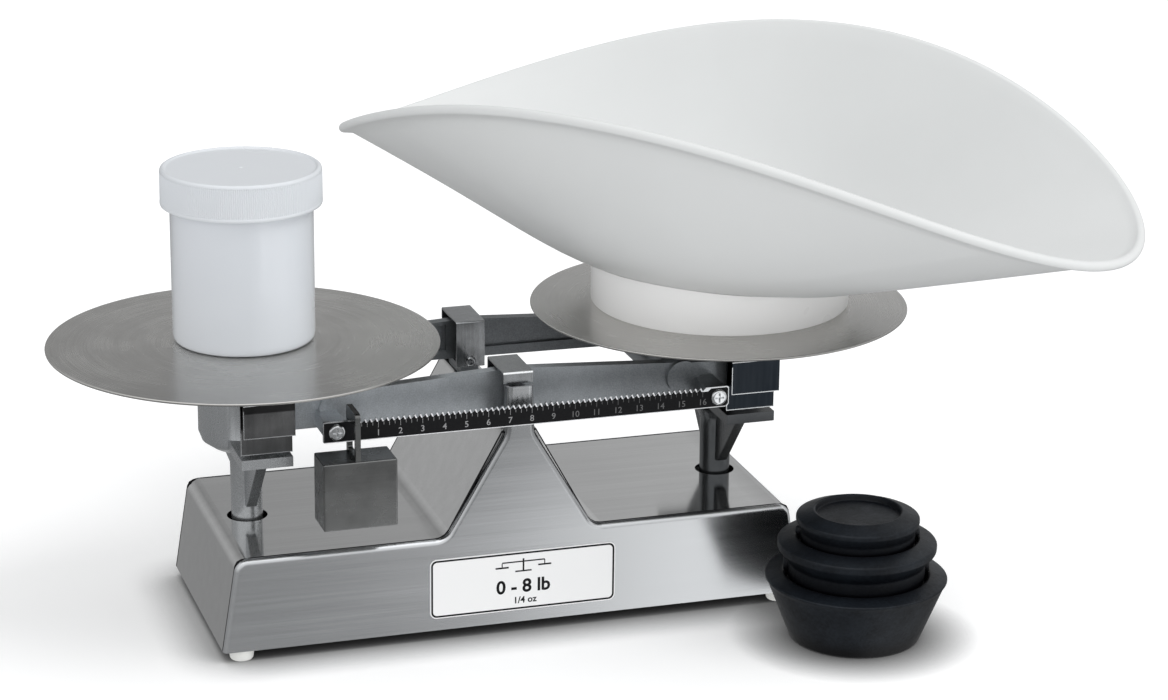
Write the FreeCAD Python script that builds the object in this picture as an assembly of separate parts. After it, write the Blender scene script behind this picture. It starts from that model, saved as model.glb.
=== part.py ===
"""Equal-arm bench balance with two platforms, a notched tare bar and its rider, with scoop, jar and weights.

Frame: origin at the middle of the base on the supporting surface, +X along the beam, +Y to the back, +Z up.
All sizes are in millimetres.
"""
import FreeCAD
import Part
import math
import os

Vector = FreeCAD.Vector
X_AXIS = Vector(1, 0, 0)
Y_AXIS = Vector(0, 1, 0)
Z_AXIS = Vector(0, 0, 1)

# ---------------------------------------------------------------- driving dimensions
SHEET = 1.5                  # stainless sheet of the base
FOOT_HEIGHT = 6.5
BASE_HALF_LENGTH = 177.0     # at the lower edge
DECK_HALF_LENGTH = 168.2
DECK_Z = 62.3
BASE_HALF_DEPTH = 73.0
PANEL_EDGE_RADIUS = 3.2
PANEL_FLANGE = 3.7           # depth of the edge that is folded back
PANEL_GAP = 0.6              # gap between the folded edge and the wrapped sheet
SADDLE_FOOT = 45.0           # half width of the saddle at the deck
NECK_HALF_WIDTH = 9.0
NECK_Z = 127.0
COLUMN_HALF_WIDTH = 8.0
COLUMN_Z = 152.0

ARM = 146.5                  # centre pivot to end pivot
CENTRE_PIVOT_Z = 147.5
END_PIVOT_Z = 146.0
CHECK_PIVOT_Z = 30.0
PIVOT_DROP = CENTRE_PIVOT_Z - END_PIVOT_Z
KNIFE_CLEARANCE = 0.05

RAIL_Y = 50.0                # centre plane of each beam rail
RAIL_HALF = 3.5
WEB_RECESS = 2.5
CROSS_TIE_X = 105.0
CROSS_TIE_Z = 143.0
TIE_RADIUS = 8.0
BALLAST_RADIUS = 13.19
RAIL_TOP = [(0.0, 157.0), (57.0, 154.0), (112.0, 151.0), (132.0, 149.8), (154.0, 149.8)]
RAIL_BOTTOM = [(154.0, 138.0), (140.0, 134.0), (130.0, 131.6), (0.0, 132.6)]

BAR_FRONT_Y = -81.0
BAR_THICKNESS = 1.6
BAR_X = (-118.7, 124.6)
BAR_Z = (131.4, 144.0)
BAR_SCREW_X = (-111.0, 118.0)
BAR_SCREW_Z = 137.8
NOTCH_COUNT = 64
NOTCH_PITCH = 3.25
NOTCH_START_X = -100.7
NOTCH_DEPTH = 2.2

PLATE_RADIUS = 114.3
PLATE_TOP_Z = 169.9
PLATE_THICKNESS = 1.5
PLATE_UNDERSIDE_Z = PLATE_TOP_Z - PLATE_THICKNESS
SPUD_RADIUS = 8.0
SPUD_LENGTH = 9.0
RUNNING_CLEARANCE = 0.05

STEM_RADIUS = 9.4
STEM_BOTTOM_Z = 17.0
STEM_HOLE_RADIUS = 12.0
HUB_RADIUS = 27.5
HUB_Z = 117.0
FORK_SLOT_HALF = 4.0
CHECK_PIN_RADIUS = 2.5
CHECK_ROD_HALF = 3.0

RIDER_X = -101.2
RIDER_SIZE = (43.0, 23.5, 40.0)
RIDER_FRONT_Y = -97.1
RIDER_BOTTOM_Z = 84.2
BAIL_X = -102.2
BAIL_THICKNESS = 3.0
BAIL_TOP_Z = 152.1

JAR_CENTRE = (-144.4, 7.5)
JAR_RADIUS = 41.4
JAR_WALL = 1.6
JAR_SHOULDER_Z = 250.8
LID_RADIUS = 46.8
LID_TOP_Z = 273.0
LID_WALL = 2.0
LID_SEAT_Z = LID_TOP_Z - LID_WALL - 0.6
SHOT_HEIGHT = 12.0           # fill that balances the empty scoop

RING_CENTRE = (149.8, 7.4)
RING_RADIUS = 78.4
RING_WALL = 3.0
SCOOP_YAW = -52.4            # degrees, long axis of the scoop from +X
SCOOP_PLAN_LONG = (244.9, 21.9)      # first and third harmonic of the plan along the scoop
SCOOP_PLAN_CROSS = (161.2, 8.5)      # first and third harmonic of the plan across the scoop
SCOOP_RIM_Z = (279.7, -34.8, -4.8)   # mean height, second and fourth harmonic: sides high, ends low
SCOOP_BOTTOM_Z = 192.8
SCOOP_FLAT = 0.37            # flat part of the bottom, as a share of the plan
SCOOP_LONG_POWER = 1.05
SCOOP_CROSS_POWER = 2.12
SCOOP_WALL = 2.6
SCOOP_BEAD_RADIUS = 3.0

WEIGHT_CENTRE = (188.5, -130.3)


# ---------------------------------------------------------------- helpers
def box(x, y, z):
    """Box between the pairs of limits x, y and z."""
    return Part.makeBox(x[1] - x[0], y[1] - y[0], z[1] - z[0], Vector(x[0], y[0], z[0]))


def cylinder(radius, start, direction, length):
    return Part.makeCylinder(radius, length, Vector(*start), direction)


def rounded_wire(corners, place):
    """Closed wire through (a, b, radius) corners, with tangent arcs; place turns (a, b) into a Vector."""
    count = len(corners)
    points = []
    for index in range(count):
        a, b, radius = corners[index]
        here = Vector(a, b, 0)
        before = Vector(*corners[index - 1][:2], 0)
        after = Vector(*corners[(index + 1) % count][:2], 0)
        if radius <= 0:
            points.append((here, here, here))
            continue
        to_before = (before - here).normalize()
        to_after = (after - here).normalize()
        half = to_before.getAngle(to_after) / 2
        reach = radius / math.tan(half)
        middle = (to_before + to_after).normalize()
        centre_distance = radius / math.sin(half)
        points.append((here + to_before * reach, here + middle * (centre_distance - radius),
                       here + to_after * reach))
    edges = []
    for index in range(count):
        start, middle, end = [place(p.x, p.y) for p in points[index]]
        if (end - start).Length > 1e-6:
            edges.append(Part.Arc(start, middle, end).toShape())
        following = place(points[(index + 1) % count][0].x, points[(index + 1) % count][0].y)
        if (following - end).Length > 1e-6:
            edges.append(Part.LineSegment(end, following).toShape())
    return Part.Wire(edges)


def in_xz(y):
    return lambda a, b: Vector(a, y, b)


def in_yz(x):
    return lambda a, b: Vector(x, a, b)


def prism(corners, place, along):
    """Solid of a rounded outline, extruded by the vector along."""
    return Part.Face(rounded_wire(corners, place)).extrude(along)


def sharp(points):
    return [(a, b, 0) for a, b in points]


def revolve(profile, centre):
    """Solid of revolution about the vertical through centre; profile holds (radius, z) corners."""
    wire = Part.makePolygon([Vector(r, 0, z) for r, z in profile + profile[:1]])
    solid = Part.Face(wire).revolve(Vector(0, 0, 0), Z_AXIS, 360)
    solid.translate(Vector(centre[0], centre[1], 0))
    return solid


def mirror_y(shape):
    return shape.mirror(Vector(0, 0, 0), Y_AXIS)


def front_and_back(shape):
    """The shape and its mirror image behind the middle plane."""
    return [shape, mirror_y(shape)]


def fused(shapes):
    result = shapes[0].fuse(shapes[1:]) if len(shapes) > 1 else shapes[0]
    return result.removeSplitter()


def save(node, shapes):
    """Write one node; shapes is one solid or a list of separate solids."""
    if isinstance(shapes, list):
        shapes = Part.makeCompound(shapes)
    shapes.exportStep("parts/" + node + ".step")
    print(node, len(shapes.Solids), "solid(s), valid", shapes.isValid(), "volume cm3", round(shapes.Volume / 1000, 2))


# ---------------------------------------------------------------- base
def saddle_outline(bottom_z, neck_corners):
    """Outline of the base seen from the front: sloping ends, deck and saddle with the given neck corners."""
    slope = (BASE_HALF_LENGTH - DECK_HALF_LENGTH) / (DECK_Z - FOOT_HEIGHT)
    bottom_x = BASE_HALF_LENGTH + slope * (FOOT_HEIGHT - bottom_z)
    right = [(bottom_x, bottom_z, 0), (DECK_HALF_LENGTH, DECK_Z, 8.0), (SADDLE_FOOT, DECK_Z, 9.5)] + neck_corners
    left = [(-x, z, r) for x, z, r in reversed(right)]
    return right + left


def wrap_outline(bottom_z):
    return saddle_outline(bottom_z, [(NECK_HALF_WIDTH, NECK_Z, 3.0)])


def panel_outline(bottom_z):
    neck = [(NECK_HALF_WIDTH, NECK_Z - 4.0, 12.0), (COLUMN_HALF_WIDTH, COLUMN_Z, 0)]
    return saddle_outline(bottom_z, neck)


def base_cover():
    """One formed sheet: two ends, two decks with stem holes, and the saddle."""
    half_depth = BASE_HALF_DEPTH - PANEL_FLANGE - PANEL_GAP
    outer = prism(wrap_outline(FOOT_HEIGHT), in_xz(-half_depth), Y_AXIS * 2 * half_depth)
    inner_wire = rounded_wire(wrap_outline(FOOT_HEIGHT - 20), in_xz(-half_depth))
    inner = Part.Face(inner_wire).makeOffset2D(-SHEET).extrude(Y_AXIS * 2 * half_depth)
    cover = outer.cut(inner)
    for side in (-1, 1):
        cover = cover.cut(cylinder(STEM_HOLE_RADIUS, (side * ARM, 0, DECK_Z - 10), Z_AXIS, 20))
    return cover


def edges_on_plane(shape, y, z_low, z_high):
    """Edges that lie on the plane y, without those level at or beyond the two heights."""
    edges = [e for e in shape.Edges if all(abs(v.Y - y) < 1e-6 for v in e.Vertexes)]
    edges = [e for e in edges if not all(v.Z < z_low + 1e-3 for v in e.Vertexes)]
    return [e for e in edges if not all(v.Z > z_high - 1e-3 for v in e.Vertexes)]


def front_panel():
    """Face with its upper edge rounded and folded back; the column ends in an open cut."""
    front = -BASE_HALF_DEPTH
    inside = front + SHEET
    blank = prism(panel_outline(FOOT_HEIGHT), in_xz(front), Y_AXIS * PANEL_FLANGE)
    outer = blank.makeFillet(PANEL_EDGE_RADIUS, edges_on_plane(blank, front, FOOT_HEIGHT, COLUMN_Z))
    hollow_wire = rounded_wire(panel_outline(FOOT_HEIGHT - 20), in_xz(inside))
    hollow = Part.Face(hollow_wire).makeOffset2D(-SHEET).extrude(Y_AXIS * PANEL_FLANGE)
    hollow_edges = edges_on_plane(hollow, inside, FOOT_HEIGHT - 10, COLUMN_Z - 3)
    hollow = hollow.makeFillet(PANEL_EDGE_RADIUS - SHEET, hollow_edges)
    half = COLUMN_HALF_WIDTH - SHEET
    slot = box((-half, half), (inside, inside + 20), (COLUMN_Z - 10, COLUMN_Z + 10))
    slot_edges = [e for e in edges_on_plane(slot, inside, 0, 999) if abs(e.Vertexes[0].Z - e.Vertexes[1].Z) > 1]
    slot = slot.makeFillet(PANEL_EDGE_RADIUS - SHEET, slot_edges)
    return outer.cut(hollow).cut(slot)


def label_plate():
    corners = [(-54.6, 14.0, 4.0), (58.5, 14.0, 4.0), (58.5, 50.7, 4.0), (-54.6, 50.7, 4.0)]
    return prism(corners, in_xz(-BASE_HALF_DEPTH - 0.4), Y_AXIS * 0.4)


BOTTOM_PLATE_TOP_Z = FOOT_HEIGHT + SHEET
FOOT_PLACES = [(sx * 165.0, sy * 65.0) for sx in (-1, 1) for sy in (-1, 1)]


def bottom_plate():
    plate = box((-174.0, 174.0), (-71.0, 71.0), (FOOT_HEIGHT, BOTTOM_PLATE_TOP_Z))
    for x, y in FOOT_PLACES:
        plate = plate.cut(cylinder(2.2, (x, y, 0), Z_AXIS, 20))
    return plate


def feet():
    profile = [(2.2, 3.0), (3.6, 3.0), (3.6, 0.0), (6.2, 0.0), (6.8, 0.8), (7.6, FOOT_HEIGHT), (2.2, FOOT_HEIGHT)]
    return [revolve(profile, place) for place in FOOT_PLACES]


def foot_screws():
    profile = [(0.0, 1.2), (3.2, 1.2), (3.2, 3.0), (2.1, 3.0), (2.1, 12.0), (0.0, 12.0)]
    return [revolve(profile, place) for place in FOOT_PLACES]


def fulcrum_supports():
    """Two upright plates inside the saddle that carry the fulcrum brackets."""
    top = NECK_Z - SHEET
    corners = sharp([(-38, BOTTOM_PLATE_TOP_Z), (38, BOTTOM_PLATE_TOP_Z), (6, top), (-6, top)])
    plate = prism(corners, in_xz(-RAIL_Y - 2.0), Y_AXIS * 4.0)
    window = prism([(-20, 20, 4), (20, 20, 4), (5, 80, 3), (-5, 80, 3)], in_xz(-RAIL_Y - 5), Y_AXIS * 10)
    return front_and_back(plate.cut(window))


# ---------------------------------------------------------------- fulcrum
BRACKET_HALF = 5.6
INNER_BEARING_Y = (36.0, 41.5)
OUTER_BEARING_Y = (57.5, 63.0)
BRACKET_FLOOR_Z = NECK_Z + 3.0
BRACKET_SEAT_Z = 141.0
CAP_TOP_Z = 159.2
CAP_SHEET = 1.2


def fulcrum_bracket():
    """Cast fork that stands on the neck and straddles the front rail."""
    floor = box((-BRACKET_HALF, BRACKET_HALF), (-OUTER_BEARING_Y[1], -INNER_BEARING_Y[0]), (NECK_Z, BRACKET_FLOOR_Z))
    parts = [floor]
    for low, high in (INNER_BEARING_Y, OUTER_BEARING_Y):
        parts.append(box((-BRACKET_HALF, BRACKET_HALF), (-high, -low), (NECK_Z, BRACKET_SEAT_Z)))
    bracket = fused(parts)
    return bracket.cut(cylinder(1.5, (0, -INNER_BEARING_Y[0] - 4.0, 134.0), Y_AXIS, 10))


def knife_prism(apex_x, apex_z, points_up, y_low, y_high, half_base, height):
    """Triangular bar along Y with its edge at (apex_x, apex_z)."""
    base_z = apex_z - height if points_up else apex_z + height
    corners = sharp([(apex_x - half_base, base_z), (apex_x + half_base, base_z), (apex_x, apex_z)])
    return prism(corners, in_xz(y_low), Y_AXIS * (y_high - y_low))


def centre_bearings():
    """Four hardened blocks with a V that carries the centre knife edges."""
    blocks = []
    for low, high in (INNER_BEARING_Y, OUTER_BEARING_Y):
        block = box((-BRACKET_HALF, BRACKET_HALF), (-high, -low), (BRACKET_SEAT_Z, CENTRE_PIVOT_Z + 2.5))
        vee = knife_prism(0, CENTRE_PIVOT_Z - KNIFE_CLEARANCE, False, -high - 1, -low + 1, 8.0, 5.0)
        blocks += front_and_back(block.cut(vee))
    return blocks


def centre_knife_edges():
    bar = knife_prism(0, CENTRE_PIVOT_Z, False, -63.5, -35.4, 4.2, 7.2)
    return front_and_back(bar)


def fulcrum_cap():
    """Bent sheet over the front rail: short outer flange, long inner flange with a screw hole."""
    half = 9.0
    y_out, y_in = -67.4, -33.8
    inner_foot_z = 130.4
    top = box((-half, half), (y_out, y_in), (CAP_TOP_Z - CAP_SHEET, CAP_TOP_Z))
    outer = box((-half, half), (y_out, y_out + CAP_SHEET), (COLUMN_Z + 0.4, CAP_TOP_Z))
    inner = box((-half, half), (y_in - CAP_SHEET, y_in), (inner_foot_z, CAP_TOP_Z))
    cap = fused([top, outer, inner])
    bends = [e for e in cap.Edges if abs(e.Length - 2 * half) < 1e-6
             and all(abs(v.Z - CAP_TOP_Z) < 1e-6 for v in e.Vertexes)
             and (abs(e.Vertexes[0].Y - y_out) < 1e-6 or abs(e.Vertexes[0].Y - y_in) < 1e-6)]
    cap = cap.makeFillet(CAP_SHEET * 0.95, bends)
    return cap.cut(cylinder(1.6, (0, y_in - 5, 134.0), Y_AXIS, 10))


def pan_head_screw(x, y, z, head_radius, head_height, shank_radius, shank_length, towards):
    """Screw with its head's seat at (x, y, z); towards is +1 or -1, the way its head faces along Y."""
    seat = Vector(x, y, z)
    axis = Y_AXIS * towards
    head = Part.makeCylinder(head_radius, head_height, seat, axis)
    crown = [e for e in head.Edges if e.BoundBox.YLength < 1e-6 and abs(e.BoundBox.YMin - y) > head_height * 0.5]
    head = head.makeFillet(head_height * 0.6, crown)
    shank = Part.makeCylinder(shank_radius, shank_length, seat, axis * -1)
    for width, length in ((0.22, 1.15), (1.15, 0.22)):
        head = head.cut(box((x - head_radius * length / 2, x + head_radius * length / 2),
                            sorted((y + towards * head_height * 0.45, y + towards * (head_height + 1))),
                            (z - head_radius * width / 2, z + head_radius * width / 2)))
    return head.fuse(shank).removeSplitter()


def cap_screws():
    front = pan_head_screw(0, -33.8, 134.0, 3.2, 2.0, 1.45, 6.0, 1)
    return front_and_back(front)


# ---------------------------------------------------------------- beam
def rail_blank(y_low, y_high, inset=0.0):
    right = [(x, z) for x, z in RAIL_TOP]
    right_low = [(x, z) for x, z in RAIL_BOTTOM]
    left = [(-x, z) for x, z in reversed(right[1:])]
    left_low = [(-x, z) for x, z in reversed(right_low[:-1])]
    outline = sharp(left + right + right_low + left_low)
    face = Part.Face(rounded_wire(outline, in_xz(y_low)))
    if inset:
        face = face.makeOffset2D(-inset)
    return face.extrude(Y_AXIS * (y_high - y_low))


def main_beam():
    """Casting of two rails joined by two round ties, with lugs for the tare bar."""
    outer_y = RAIL_Y + RAIL_HALF
    inner_y = RAIL_Y - RAIL_HALF
    rail = rail_blank(-outer_y, -inner_y)
    pocket_top = rail_blank(-inner_y - WEB_RECESS, -inner_y + 1, 2.2)
    lip = box((-200, 200), (-outer_y - 5, 0), (120, 138.2))
    pad = box((-12, 12), (-outer_y - 5, 0), (120, 170))
    rail = rail.cut(pocket_top.cut(lip).cut(pad))
    bosses = []
    for side in (-1, 1):
        bosses.append(cylinder(10.0, (side * CROSS_TIE_X, -outer_y - 3.0, CROSS_TIE_Z), Y_AXIS, 6.0))
        bosses.append(box(sorted((side * 134.0, side * 154.0)), (-outer_y, -inner_y), (138.0, 149.8)))
    rail = fused([rail] + bosses)
    both = front_and_back(rail)
    ties = [cylinder(TIE_RADIUS, (side * CROSS_TIE_X, -inner_y - 2, CROSS_TIE_Z), Y_AXIS, 2 * inner_y + 4)
            for side in (-1, 1)]
    lugs = [box((x - 6.0, x + 6.0), (BAR_FRONT_Y + BAR_THICKNESS, -outer_y), (133.4, 142.6)) for x in BAR_SCREW_X]
    beam = fused(both + ties + lugs)
    for shape in centre_knife_edges() + end_knife_edges():
        beam = beam.cut(shape)
    for screw in tare_bar_screws():
        beam = beam.cut(screw)
    return beam


def end_knife_edges():
    edges = []
    for side in (-1, 1):
        bar = knife_prism(side * ARM, END_PIVOT_Z, True, -65.6, -38.0, 4.2, 7.2)
        edges += front_and_back(bar)
    return edges


def beam_counterweight():
    """Ballast sleeve on the right tie that offsets the rider at zero."""
    sleeve = cylinder(BALLAST_RADIUS, (CROSS_TIE_X, -45.0, CROSS_TIE_Z), Y_AXIS, 90.0)
    return sleeve.cut(cylinder(TIE_RADIUS + 0.05, (CROSS_TIE_X, -50.0, CROSS_TIE_Z), Y_AXIS, 100.0))


def tare_bar():
    """Flat bar with saw-tooth notches along its upper edge."""
    right_corners = [(BAR_X[1], BAR_Z[0], 2.5), (BAR_X[1], BAR_Z[1], 1.5)]
    left_corners = [(BAR_X[0], BAR_Z[1], 0.8), (BAR_X[0], BAR_Z[0], 0.8)]
    teeth = []
    for index in range(NOTCH_COUNT + 1):
        x = NOTCH_START_X + index * NOTCH_PITCH
        teeth += [(x, BAR_Z[1], 0), (x + NOTCH_PITCH * 0.30, BAR_Z[1] - NOTCH_DEPTH, 0)]
    teeth.append((NOTCH_START_X + (NOTCH_COUNT + 1) * NOTCH_PITCH, BAR_Z[1], 0))
    outline = right_corners + list(reversed(teeth)) + left_corners
    bar = prism(outline, in_xz(BAR_FRONT_Y), Y_AXIS * BAR_THICKNESS)
    for x in BAR_SCREW_X:
        bar = bar.cut(cylinder(2.1, (x, BAR_FRONT_Y - 5, BAR_SCREW_Z), Y_AXIS, 10))
    return bar


def tare_bar_screws():
    return [pan_head_screw(x, BAR_FRONT_Y, BAR_SCREW_Z, 4.9, 2.6, 2.0, 12.0, -1) for x in BAR_SCREW_X]


# ---------------------------------------------------------------- rider
def rider_block():
    length, depth, height = RIDER_SIZE
    block = box((RIDER_X - length / 2, RIDER_X + length / 2), (RIDER_FRONT_Y, RIDER_FRONT_Y + depth),
                (RIDER_BOTTOM_Z, RIDER_BOTTOM_Z + height))
    block = block.makeFillet(0.9, block.Edges)
    return block.cut(rider_bail())


def rider_bail():
    """Stirrup plate that is let into the block and hooks over the tare bar."""
    y_front, y_rear = -96.1, -73.8
    foot_z = RIDER_BOTTOM_Z + RIDER_SIZE[2] - 8.0
    place = in_yz(BAIL_X - BAIL_THICKNESS / 2)
    outer = [(y_front, foot_z, 0), (y_rear, foot_z, 0), (y_rear, BAIL_TOP_Z, 2.5), (y_front, BAIL_TOP_Z, 2.5)]
    inner = [(-93.1, 126.5, 1), (-76.8, 126.5, 1), (-76.8, BAR_Z[1] + 0.3, 1), (-93.1, BAR_Z[1] + 0.3, 1)]
    plate = prism(outer, place, X_AXIS * BAIL_THICKNESS)
    return plate.cut(prism(inner, place, X_AXIS * BAIL_THICKNESS))


# ---------------------------------------------------------------- platforms
ARM_BRIDGE_Z = (154.0, 162.0)
BEARING_OUTER_Y = (60.2, 65.6)
BEARING_INNER_Y = (38.0, 43.4)
END_BEARING_Z = (142.6, 154.0)
COVER_TOP_Z = 153.6
COVER_HALF = 15.0


def platform_casting(side):
    """Hub with stem and fork, bridges over the rails, and ledges and gussets below them."""
    x = side * ARM
    hub = revolve([(0, STEM_BOTTOM_Z), (8.6, STEM_BOTTOM_Z), (STEM_RADIUS - 0.2, 60.0), (STEM_RADIUS + 0.1, 96.0),
                   (12.5, 104.0), (20.0, 107.5), (25.5, 111.5), (HUB_RADIUS, HUB_Z), (HUB_RADIUS, PLATE_UNDERSIDE_Z),
                   (0, PLATE_UNDERSIDE_Z)], (x, 0))
    bridge = box((x - 13.0, x + 13.0), (-66.0, 66.0), ARM_BRIDGE_Z)
    ledge = box((x - COVER_HALF, x + COVER_HALF), (-60.0, 60.0), (112.0, 118.0))
    gusset = prism(sharp([(0, 70), (-13, 72), (-48, 112), (0, 112)]), in_yz(x - 3.0), X_AXIS * 6.0)
    casting = fused([hub, bridge, ledge, gusset, mirror_y(gusset)])
    casting = casting.cut(cylinder(SPUD_RADIUS + RUNNING_CLEARANCE, (x, 0, PLATE_UNDERSIDE_Z - SPUD_LENGTH - 1),
                                   Z_AXIS, SPUD_LENGTH + 5))
    casting = casting.cut(box((x - 20, x + 20), (-FORK_SLOT_HALF, FORK_SLOT_HALF), (STEM_BOTTOM_Z - 5, 44.0)))
    pin_z = CHECK_PIVOT_Z - PIVOT_DROP
    return casting.cut(cylinder(CHECK_PIN_RADIUS, (x, -20, pin_z), Y_AXIS, 40))


def end_bearings(side):
    """Four blocks with an inverted V that hang the platform on the end knife edges."""
    x = side * ARM
    blocks = []
    for low, high in (BEARING_INNER_Y, BEARING_OUTER_Y):
        top = END_BEARING_Z[1] if low < RAIL_Y else COVER_TOP_Z - CAP_SHEET
        block = box((x - 8.0, x + 8.0), (-high, -low), (END_BEARING_Z[0], top))
        vee = knife_prism(x, END_PIVOT_Z + KNIFE_CLEARANCE, True, -high - 1, -low + 1, 8.0, 5.0)
        blocks += front_and_back(block.cut(vee))
    return blocks


def bearing_covers(side):
    """Bent caps over the outer bearings: short outer flange and long inner flange."""
    x = side * ARM
    y_out, y_in = -67.2, -57.5
    half = COVER_HALF
    top = box((x - half, x + half), (y_out, y_in), (COVER_TOP_Z - CAP_SHEET, COVER_TOP_Z))
    outer = box((x - half, x + half), (y_out, y_out + CAP_SHEET), (133.0, COVER_TOP_Z))
    inner = box((x - half, x + half), (y_in - CAP_SHEET, y_in), (120.5, COVER_TOP_Z))
    cover = fused([top, outer, inner])
    window = box((x - 8.5, x + 8.5), (y_in - 5, y_in + 5), (135.0, 150.0))
    bends = [e for e in cover.Edges if abs(e.Length - 2 * half) < 1e-6
             and all(abs(v.Z - COVER_TOP_Z) < 1e-6 for v in e.Vertexes)]
    cover = cover.makeFillet(CAP_SHEET * 0.95, bends)
    return front_and_back(cover.cut(window))


def cover_spacers(side):
    """Pads that carry the covers under the bridges."""
    x = side * ARM
    pad = box((x - 10.0, x + 10.0), (-66.0, -59.0), (COVER_TOP_Z, ARM_BRIDGE_Z[0]))
    return front_and_back(pad)


def platform_pin(side):
    return cylinder(CHECK_PIN_RADIUS, (side * ARM, -9.0, CHECK_PIVOT_Z - PIVOT_DROP), Y_AXIS, 18.0)


def plate(side):
    """Round plate with a centre spud that drops into the hub."""
    centre = (side * ARM, 0)
    radius = PLATE_RADIUS
    top = PLATE_TOP_Z
    under = PLATE_UNDERSIDE_Z
    return revolve([(0, under - SPUD_LENGTH), (SPUD_RADIUS - 1, under - SPUD_LENGTH),
                    (SPUD_RADIUS, under - SPUD_LENGTH + 1), (SPUD_RADIUS, under), (radius - 0.4, under),
                    (radius, under + 0.4), (radius, top - 0.4), (radius - 0.4, top), (0, top)], centre)


# ---------------------------------------------------------------- check linkage
def check_rod():
    """Flat bar below the beam, with the same three pivot places, that keeps the stems upright."""
    end_z = CHECK_PIVOT_Z - PIVOT_DROP
    bar = prism([(-ARM - 6, end_z - 5, 4), (ARM + 6, end_z - 5, 4), (ARM + 6, end_z + 5, 4), (0, CHECK_PIVOT_Z + 6, 20),
                 (-ARM - 6, end_z + 5, 4)], in_xz(-CHECK_ROD_HALF), Y_AXIS * 2 * CHECK_ROD_HALF)
    for x, z, radius in ((-ARM, end_z, CHECK_PIN_RADIUS + 0.1), (0, CHECK_PIVOT_Z, 3.0 + RUNNING_CLEARANCE),
                         (ARM, end_z, CHECK_PIN_RADIUS + 0.1)):
        bar = bar.cut(cylinder(radius, (x, -10, z), Y_AXIS, 20))
    return bar


def check_bracket():
    """U bracket on the bottom plate that holds the check rod's centre pin."""
    width = 9.0
    floor = box((-14, 14), (-8.0, 8.0), (BOTTOM_PLATE_TOP_Z, BOTTOM_PLATE_TOP_Z + 2.5))
    cheek = box((-width, width), (-8.0, -5.0), (BOTTOM_PLATE_TOP_Z, CHECK_PIVOT_Z + 9))
    bracket = fused([floor, cheek, mirror_y(cheek)])
    return bracket.cut(cylinder(3.0, (0, -20, CHECK_PIVOT_Z), Y_AXIS, 40))


def check_centre_pin():
    return cylinder(3.0, (0, -10.0, CHECK_PIVOT_Z), Y_AXIS, 20.0)


# ---------------------------------------------------------------- jar
def jar_body():
    r = JAR_RADIUS
    w = JAR_WALL
    z0 = PLATE_TOP_Z
    top = LID_SEAT_Z - 0.05
    neck = []
    for thread_z in (JAR_SHOULDER_Z + 4.5, JAR_SHOULDER_Z + 10.5):
        neck += [(r, thread_z), (r + 1.8, thread_z + 1.0), (r + 1.8, thread_z + 2.4), (r, thread_z + 3.4)]
    neck.append((r, top))
    return revolve([(0, z0), (r - 2.5, z0), (r - 0.7, z0 + 0.8), (r, z0 + 2.6)] + neck
                   + [(r - w, top), (r - w, z0 + 3.5), (r - w - 2, z0 + w), (0, z0 + w)], JAR_CENTRE)


def jar_lid():
    r = LID_RADIUS
    top = LID_TOP_Z
    inner = r - LID_WALL
    return revolve([(0, LID_SEAT_Z), (inner, LID_SEAT_Z), (inner, JAR_SHOULDER_Z + 1.5),
                    (r - 1.2, JAR_SHOULDER_Z + 0.5), (r, JAR_SHOULDER_Z + 2.0), (r, top - 1.6), (r - 0.5, top - 0.5),
                    (r - 1.6, top), (r - 2.8, top), (r - 3.4, top - 0.6), (1.6, top - 0.6), (1.2, top - 0.1),
                    (0, top - 0.1)], JAR_CENTRE)


def jar_shot():
    """Settled shot in the jar, as one puck."""
    z0 = PLATE_TOP_Z + JAR_WALL
    r = JAR_RADIUS - JAR_WALL - 2.0
    return revolve([(0, z0), (r, z0), (r + 1.6, z0 + 2.4), (r + 1.6, z0 + SHOT_HEIGHT), (0, z0 + SHOT_HEIGHT)],
                   JAR_CENTRE)


# ---------------------------------------------------------------- scoop
def scoop_plan(rho, angle):
    """Place in plan: rho runs from the middle (0) to the rim (1), angle goes round the oval."""
    along = SCOOP_PLAN_LONG[0] * math.cos(angle) + SCOOP_PLAN_LONG[1] * math.cos(3 * angle)
    across = SCOOP_PLAN_CROSS[0] * math.sin(angle) + SCOOP_PLAN_CROSS[1] * math.sin(3 * angle)
    return rho * along, rho * across


def scoop_plan_inverse(along, across):
    """The (rho, angle) whose place in plan is (along, across)."""
    rho = 0.0
    angle = 0.0
    for _ in range(60):
        x = (along - rho * SCOOP_PLAN_LONG[1] * math.cos(3 * angle)) / SCOOP_PLAN_LONG[0]
        y = (across - rho * SCOOP_PLAN_CROSS[1] * math.sin(3 * angle)) / SCOOP_PLAN_CROSS[0]
        rho = math.hypot(x, y)
        angle = math.atan2(y, x)
    return rho, angle


def scoop_surface(rho, angle):
    """Point on the underside of the scoop."""
    rim_z = SCOOP_RIM_Z[0] + SCOOP_RIM_Z[1] * math.cos(2 * angle) + SCOOP_RIM_Z[2] * math.cos(4 * angle)
    power = SCOOP_LONG_POWER * math.cos(angle) ** 2 + SCOOP_CROSS_POWER * math.sin(angle) ** 2
    climb = max(rho - SCOOP_FLAT, 0) / (1 - SCOOP_FLAT)
    along, across = scoop_plan(rho, angle)
    return Vector(along, across, SCOOP_BOTTOM_Z + (rim_z - SCOOP_BOTTOM_Z) * climb ** power)


def scoop_point(rho, angle, inward):
    """Point at a distance inward from the underside, along its normal."""
    step = 1e-3
    here = scoop_surface(rho, angle)
    outwards = scoop_surface(rho + step, angle) - scoop_surface(rho - step, angle)
    round_it = scoop_surface(rho, angle + step) - scoop_surface(rho, angle - step)
    normal = outwards.cross(round_it).normalize()
    if normal.z < 0:
        normal = normal * -1
    return here + normal * inward


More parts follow.
